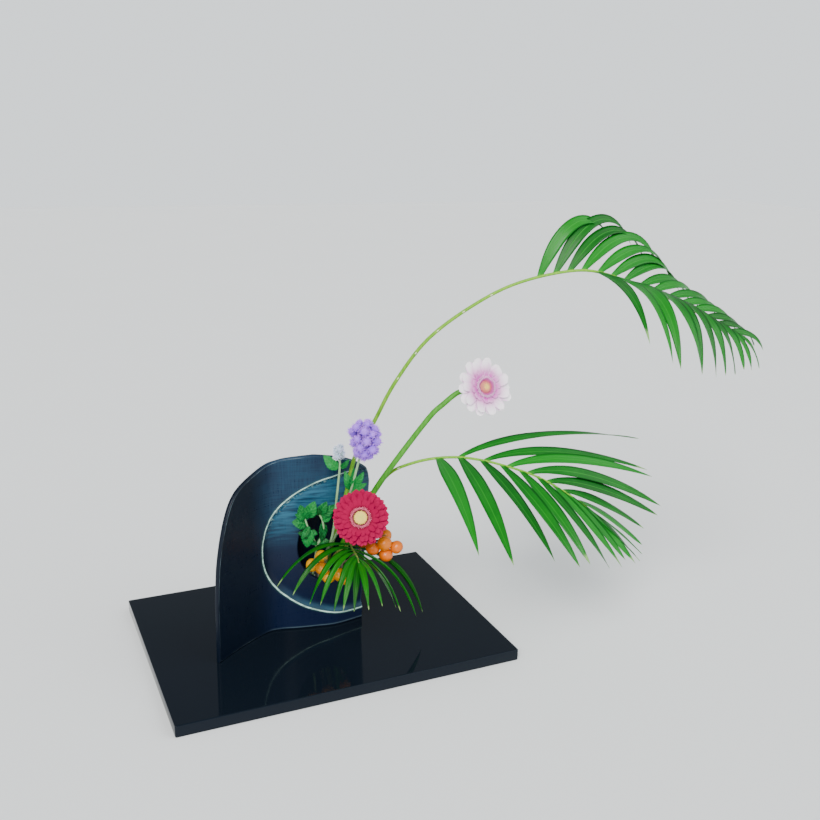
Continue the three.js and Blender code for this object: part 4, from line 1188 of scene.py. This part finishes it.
def glaze_skin():
    """Near black at the left and teal at the upper right, mostly painted reflection and partly thin glaze
    over brush marks, with painted highlights inside the dish and on the front edge, a painted glow round the
    pale line, and pale where it breaks.
    """
    s = Skin("brushed_glaze", (0.01, 0.02, 0.035), 0.3, IOR=1.4, Specular_IOR_Level=0.28)
    along, height = s.layer("flat")
    ring_half, gap = s.layer("tone")
    flat = s.node("ShaderNodeCombineXYZ", {0: along, 1: height})
    level = s.noise(1.0, 5, at=s.stretched((6, 150, 1), flat))
    upright = s.noise(1.0, 4, at=s.stretched((130, 9, 1), flat))
    streak = s.noise(1.0, 6, 0.3, s.stretched((7, 62, 1), flat))
    cloud = s.noise(1.0, 3, at=s.stretched((4.5, 5.5, 1), flat))
    weave = s.spread((level + upright) * 0.5, 0.36, 0.64, 0.6, 1.1)
    ring = ring_half * 2.0 + (s.noise(20, 6, at=flat) - 0.5) * 0.012
    inside = s.spread(ring, 1.0, 0.97)

    # Near black at the left to dark blue at the right: painted reflection of the room on the glossy glaze.
    right = s.spread(along, 0.24, 0.5)
    s.blend(right, (0.0018, 0.005, 0.0125), (0.0035, 0.0085, 0.029))
    # Teal towards the upper right over the brush marks: partly thin glaze, mostly painted sheen of reflected
    # light.
    thin_glaze_and_sheen = right * s.spread(height, 0.36, 0.72) * s.spread(cloud, 0.32, 0.62, 0.45, 1.0)
    s.over(thin_glaze_and_sheen * weave, (0.009, 0.038, 0.075))
    # Lighter teal in the upper left inside the dish, as if lit from the right: a painted reflection.
    upper_left = s.spread(height, 0.46, 0.72) * s.spread(along, 0.95, 0.55, 0.4, 1.0)
    painted_reflection = inside * upper_left * s.spread(streak, 0.34, 0.62, 0.15, 1.0)
    s.over(painted_reflection, (0.03, 0.125, 0.2))
    # Lighter band low inside the dish's edge, where the step faces up: a painted reflection of light from
    # above.
    painted_low_reflection = s.spread(ring, 0.88, 0.97) * inside * s.spread(height, 0.3, 0.12)
    s.over(painted_low_reflection * s.spread(cloud, 0.36, 0.6, 0.1, 0.8), (0.02, 0.075, 0.12))
    # Pale flecks just inside the dish's edge in the upper left: painted glints where the edge catches light.
    painted_glints = s.spread(s.noise(75, 5, at=flat), 0.53, 0.6) * (s.spread(ring, 0.93, 0.98) * inside)
    s.over(painted_glints * (upper_left * 0.7), (0.36, 0.55, 0.5))

    fading = s.spread(along + height * 0.35, 1.22, 1.08)
    # Faint greenish band on both sides of the pale line: a painted glow.
    halo = s.spread(ring, 0.972, 0.992) * s.spread(ring, 1.03, 1.008) * 0.22
    s.over(halo * fading, (0.07, 0.2, 0.15))
    line = s.spread(ring, 0.988, 0.9935) * s.spread(ring, 1.009, 1.004) * fading
    s.over(line * s.spread(streak, 0.36, 0.56, 0.5, 1.0), (0.5, 0.76, 0.66))

    # Thin pale line along the slab's front edge, stronger higher up: a painted highlight.
    patchy = s.spread(s.noise(7, 3, at=flat), 0.4, 0.6, 0.12, 0.85)
    painted_edge_highlight = s.spread(gap, 0.07, 0.085) * s.spread(gap, 0.115, 0.095) * patchy
    s.over(painted_edge_highlight * s.spread(height, 0.2, 0.5, 0.25, 1.0), (0.2, 0.28, 0.31))
    foot = s.spread(height, 0.007, 0.009) * s.spread(height, 0.015, 0.011) * s.spread(along, 0.3, 0.55)
    s.over(foot * 0.55, (0.08, 0.13, 0.15))
    s.rough(s.spread(weave, 0.3, 1.2, 0.22, 0.42))
    s.relief(weave + line, 0.16, 0.0007)
    return s


def leaf_skin(name, dark, bright, pale, dry):
    """Palm leaflet: flat x runs across with the midrib at 0.5 and y from base to tip."""
    s = Skin(name, bright, 0.3, Specular_IOR_Level=0.22)
    across, along = s.layer("flat")
    tone, dryness = s.layer("tone")
    share = tone * 0.55 + s.noise(26, 3) * 0.5
    s.blend(s.spread(share, 0.15, 0.85), dark, bright)
    veins = s.ridge(across, 11)
    rib = s.spread(abs(across - 0.5), 0.045, 0.015)
    for paleness in (veins * 0.17, rib * 0.5, s.spread(along, 0.05, 0.0, 0, 0.7)):
        s.over(paleness, pale)
    ragged = (s.noise(120, 3) - 0.5) * 0.05
    tip = s.spread(along + ragged - (0.985 - dryness**3.0 * 0.09), -0.03, 0.02)
    s.over(tip, dry)
    s.rough(s.spread(tip, 0, 1, 0.3, 0.75))
    s.relief(veins + rib * 2.0, 0.3, 0.0004)
    return s


def stem_skin(name, low, high, streak, roughness=0.45):
    """Stem: flat y runs from foot to end."""
    s = Skin(name, high, roughness, Specular_IOR_Level=0.22)
    along = s.layer("flat")[1]
    fibres = s.noise(420, 4, at=s.stretched((1, 1, 0.12)))
    s.blend(s.spread(along, 0.1, 0.75), low, high)
    s.over(s.spread(fibres, 0.35, 0.7, 0, 0.55), streak)
    blotch = s.spread(s.noise(60, 4), 0.62, 0.75, 0, 0.4)
    s.over(blotch, tuple(0.55 * c for c in low))
    s.relief(fibres, 0.25, 0.0003)
    return s


def petal_skin(name, root, body, tip, edge, reach):
    """Petals: flat y is the share of the flower's radius, and the root's colour fades out at the reach; the
    edge tone is painted shade between petals.
    """
    s = Skin(name, body, 0.6, Specular_IOR_Level=0.07)
    across, along = s.layer("flat")
    tone, other = s.layer("tone")
    s.blend(s.spread(along, 0.3, reach), root, body)
    s.over(s.spread(along + s.noise(45, 3) * 0.3, 0.85, 1.2), tip)
    # Painted shade: the edge tone darkens the sides of each petal, more on some petals than others, as shade
    # between overlapping petals; fine lines along the petal take a little of the same tone.
    side = s.spread(abs(across - 0.5), 0.28, 0.5) * s.spread(tone, 0.2, 0.9, 0.3, 0.9)
    s.over(side, edge)
    lines = s.ridge(across, 8)
    s.over(lines * 0.12, edge)
    s.over(other * 0.12, tip)
    s.relief(lines, 0.18, 0.0003)
    return s


def floret_skin(name, centre, outside):
    """Disc florets: tone x runs from the middle of the disc to its edge."""
    s = Skin(name, outside, 0.65, Subsurface_Weight=0.1, Subsurface_Radius=(0.002, 0.002, 0.001))
    share, other = s.layer("tone")
    s.blend(s.spread(share + other * 0.2, 0.2, 0.9), centre, outside)
    specks = s.spread(s.noise(900, 3), 0.4, 0.7, 0, 0.3)
    s.over(specks, tuple(0.6 * c for c in outside))
    return s


def short_petal_skin(name, root, tip):
    """Ring of short petals round the disc: flat y runs from their root to their tip."""
    s = Skin(name, tip, 0.6, Subsurface_Weight=0.1, Subsurface_Radius=(0.002, 0.001, 0.001))
    along = s.layer("flat")[1]
    s.blend(s.spread(along + s.noise(300, 3) * 0.3, 0.6, 1.0), root, tip)
    return s


def hair_skin(name, deep, light, tip):
    """Fine florets: flat y runs from their root to their tip."""
    s = Skin(name, light, 0.75, Specular_IOR_Level=0.2)
    along = s.layer("flat")[1]
    shade, other = s.layer("tone")
    s.blend(s.spread(shade * 0.55 + other * 0.45, 0.1, 0.9), deep, light)
    s.over(s.spread(along, 0.45, 1.0, 0, 0.75), tip)
    return s


def toothed_leaf_skin():
    """Leaf of the sprig or a floss flower, laid out as a palm leaflet is, with slanting side veins."""
    s = Skin("hairy_leaf", (0.02, 0.14, 0.04), 0.5, Specular_IOR_Level=0.14)
    across, along = s.layer("flat")
    tone = s.layer("tone")[0]
    aside = abs(across - 0.5)
    side_veins = s.spread(s.ridge(along - aside * (2 * LEAF["vein_slant"]), LEAF["veins"]), 0.86, 0.99)
    veins = s.maths("MAXIMUM", side_veins, s.spread(aside, 0.05, 0.01))
    patches = s.noise(110, 4)
    s.blend(s.spread(tone + patches * 0.6, 0.3, 1.3), (0.001, 0.05, 0.009), (0.004, 0.17, 0.028))
    s.over(veins * 0.5, (0.03, 0.26, 0.05))
    # Pale blue-green patches on the leaf: painted highlights.
    painted_highlights = s.spread(s.noise(240, 5), 0.5, 0.72) * 0.3
    s.over(painted_highlights, (0.04, 0.36, 0.12))
    s.relief(patches - veins, 0.35, 0.0006)
    return s


def fruit_skin(name, pale, ripe):
    """Rind with pores and a faint green at the navel: flat y runs from stalk to navel."""
    s = Skin(name, ripe, 0.26, Specular_IOR_Level=0.4)
    along = s.layer("flat")[1]
    tone, other = s.layer("tone")
    s.blend(s.spread(tone + s.noise(60, 3) * 0.5, 0.2, 1.3), pale, ripe)
    pores = s.spread(s.cells(900), 0.12, 0.4)
    s.over((1.0 - pores) * 0.3, (0.74, 0.2, 0.0))
    ripening = s.spread(along, 0.82, 0.99) * s.spread(other, 0.3, 1.0, 0.1, 0.6)
    s.over(ripening, (0.35, 0.36, 0.03))
    s.relief(pores, 0.2, 0.0004)
    return s


def bark_skin():
    s = Skin("thin_bark", (0.2, 0.15, 0.09), 0.8)
    grain = s.noise(300, 6, 0.5, s.stretched((1, 1, 0.25)))
    s.blend(s.spread(grain, 0.3, 0.7), (0.08, 0.055, 0.03), (0.32, 0.27, 0.19))
    spots = s.spread(s.cells(320), 0.25, 0.12)
    s.over(spots * 0.5, (0.5, 0.48, 0.4))
    s.relief(grain, 0.6, 0.0008)
    return s


def brass_skin():
    s = Skin("worn_brass", (0.55, 0.42, 0.16), 0.4, Metallic=1.0)
    wear = s.noise(180, 5)
    s.blend(s.spread(wear, 0.4, 0.7), (0.55, 0.41, 0.17), (0.3, 0.22, 0.1))
    s.rough(s.spread(wear, 0.3, 0.7, 0.28, 0.6))
    return s


def scar_skin():
    tones = ((0.42, 0.47, 0.2), (0.85, 0.88, 0.66))
    return mottled("trimmed_scars", (0.62, 0.68, 0.38), 0.6, 700, 3, *tones)


def calyx_skin():
    tones = ((0.1, 0.12, 0.03), (0.3, 0.25, 0.12))
    return mottled("dry_calyx", (0.16, 0.14, 0.05), 0.7, 400, 4, *tones)


def water_skin():
    tones = ((0.7, 0.82, 0.84), (0.85, 0.93, 0.94))
    clear = {"IOR": 1.33, "Transmission_Weight": 0.9}
    return mottled("clear_water", (0.75, 0.86, 0.88), 0.03, 12, 2, *tones, **clear)


def floor_skin():
    tones = ((0.79, 0.815, 0.825), (0.815, 0.835, 0.845))
    return mottled("pale_floor", (0.8, 0.82, 0.83), 0.8, 3, 3, *tones)


# Everything in place

# Leaflets: dark, bright, pale at the veins, dry at the tip. Petals: root, body, tip, edge (a darker tone
# painted as shade between petals)
PALM_TONES = ((0.0006, 0.062, 0.0035), (0.0015, 0.175, 0.008), (0.02, 0.3, 0.02), (0.2, 0.4, 0.12))
FRONT_TONES = ((0.0005, 0.04, 0.001), (0.002, 0.13, 0.001), (0.02, 0.22, 0.006), (0.2, 0.34, 0.1))
CRIMSON_TONES = ((0.12, 0.0, 0.012), (0.3, 0.0, 0.045), (0.36, 0.0, 0.056), (0.12, 0.0, 0.015))
PINK_TONES = ((0.6, 0.02, 0.45), (1.0, 0.92, 1.0), (1.0, 1.0, 1.0), (0.88, 0.5, 0.85))


def make_light():
    """Two soft lights and a sky that is pale near the horizon and dimmer higher up."""
    soft_light("key", **KEY_LIGHT)
    soft_light("fill", **FILL_LIGHT)
    world = bpy.data.worlds.new("studio")
    sky = Wiring(world, "Background")
    height = sky.parts(sky.node("ShaderNodeTexCoord", output="Generated"))[2]
    sky.feed(sky.shader.inputs["Color"], SKY_COLOUR)
    sky.feed(sky.shader.inputs["Strength"], sky.spread(height, *SKY_HEIGHT, *SKY_STRENGTH))
    bpy.context.scene.world = world


def make_floor():
    builder = Builder()
    far = FLOOR["reach"]
    builder.add([(-far, -far, 0), (far, -far, 0), (far, far, 0), (-far, far, 0)], [[0, 1, 2, 3]])
    floor = builder.object("floor", [floor_skin()])
    floor.location.z = -FLOOR["drop"] * MM


def repaint(node, skin):
    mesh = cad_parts[node].data
    mesh.materials.clear()
    mesh.materials.append(skin.material)


def make_plants():
    green = leaf_skin("palm_leaflets", *PALM_TONES)
    deep = leaf_skin("front_leaflets", *FRONT_TONES)
    petiole = stem_skin("palm_petiole", (0.07, 0.25, 0.006), (0.14, 0.38, 0.012), (0.28, 0.5, 0.04))
    dull_petiole = stem_skin("front_petiole", (0.06, 0.12, 0.015), (0.12, 0.2, 0.025), (0.36, 0.4, 0.12))
    skins = [green, petiole, scar_skin()]
    frond("palm_arch_leaves", "palm_arch", ARCH, ARCH_ROWS, ARCH_SCARS, skins)
    frond("palm_right_leaves", "palm_right", RIGHT, RIGHT_ROWS, RIGHT_SCARS, skins)
    frond("palm_front_leaves", "palm_front", FRONT, FRONT_ROWS, [], [deep, dull_petiole])


def make_blooms():
    green = stem_skin("gerbera_green", (0.012, 0.13, 0.003), (0.04, 0.24, 0.012), (0.1, 0.34, 0.04), 0.5)
    red = petal_skin("crimson_petal", *CRIMSON_TONES, 0.5)
    pink = petal_skin("pink_petal", *PINK_TONES, 0.82)
    yellow = floret_skin("disc_florets", (0.7, 0.72, 0.12), (0.98, 0.76, 0.2))
    rose = short_petal_skin("rose_short_petals", (0.12, 0.0, 0.012), (0.75, 0.14, 0.24))
    cream = floret_skin("cream_florets", (1.0, 0.88, 0.18), (0.7, 0.12, 0.25))
    mauve = short_petal_skin("mauve_short_petals", (0.5, 0.08, 0.34), (0.85, 0.5, 0.78))
    blooms = (("red", RED, red, [yellow, rose]), ("pink", PINK, pink, [cream, mauve]))
    for colour, flower, petals, disc in blooms:
        node = f"gerbera_{colour}"
        gerbera_petals(f"{colour}_petals", f"{node}_petals", flower, [petals, green])
        gerbera_disc(f"{colour}_disc", f"{node}_disc", flower, disc)
        gerbera_stem(f"{colour}_stem", f"{node}_stem", flower, [green])


def make_small_flowers():
    purple_core = hair_skin("purple_core", (0.2, 0.08, 0.55), (0.32, 0.14, 0.8), (0.4, 0.18, 0.85))
    purple = hair_skin("purple_hairs", (0.32, 0.1, 0.8), (0.52, 0.2, 0.95), (0.72, 0.38, 1.0))
    white_core = hair_skin("bud_core", (0.1, 0.2, 0.18), (0.3, 0.42, 0.5), (0.5, 0.6, 0.75))
    white = hair_skin("bud_hairs", (0.42, 0.5, 0.75), (0.8, 0.86, 1.0), (1.0, 1.0, 1.0))
    stalk = stem_skin("hairy_stalk", (0.1, 0.24, 0.08), (0.2, 0.38, 0.17), (0.34, 0.5, 0.3), 0.65)
    skins = [toothed_leaf_skin(), stalk]
    fluffy_head("floss_flowers", "floss_head", FLOSS, [purple_core, purple])
    fluffy_head("floss_buds", "bud_head", BUDS, [white_core, white])
    floss_stem, bud_stem = ([(head["stem"], head["stem_radius"], 90)] for head in (FLOSS, BUDS))
    leafy_stem("floss_leaves", "floss_stem", floss_stem, FLOSS_LEAVES, 31, skins)
    leafy_stem("bud_leaves", "bud_stem", bud_stem, BUD_LEAVES, 32, skins)
    stems = [(SPRIG["stem"], SPRIG["radius"], 80), (SPRIG["branch"], SPRIG["radius"], 40)]
    leafy_stem("sprig_leaves", "leafy_sprig", stems, SPRIG_LEAVES + SPRIG_SMALL, 33, skins)


def make_fruit():
    rind = fruit_skin("orange_rind", (0.68, 0.18, 0.0), (0.62, 0.11, 0.0))
    pale_rind = fruit_skin("yellow_rind", (0.7, 0.33, 0.0), (0.66, 0.2, 0.0))
    calyx, bark = calyx_skin(), bark_skin()
    fruit_bunch("oranges_left", "fruit_left", FRUIT_LEFT, 41, [pale_rind, calyx])
    fruit_bunch("oranges_right", "fruit_right", FRUIT_RIGHT, 42, [rind, calyx])
    twig("bark_twig_left", "twig_left", TWIG_LEFT, 43, [bark])
    twig("bark_twig_right", "twig_right", TWIG_RIGHT, 44, [bark])


make_camera()
make_light()
make_floor()
board(lacquer_skin())
vase(glaze_skin())
repaint("needle_holder", brass_skin())
repaint("water", water_skin())
make_plants()
make_blooms()
make_small_flowers()
make_fruit()
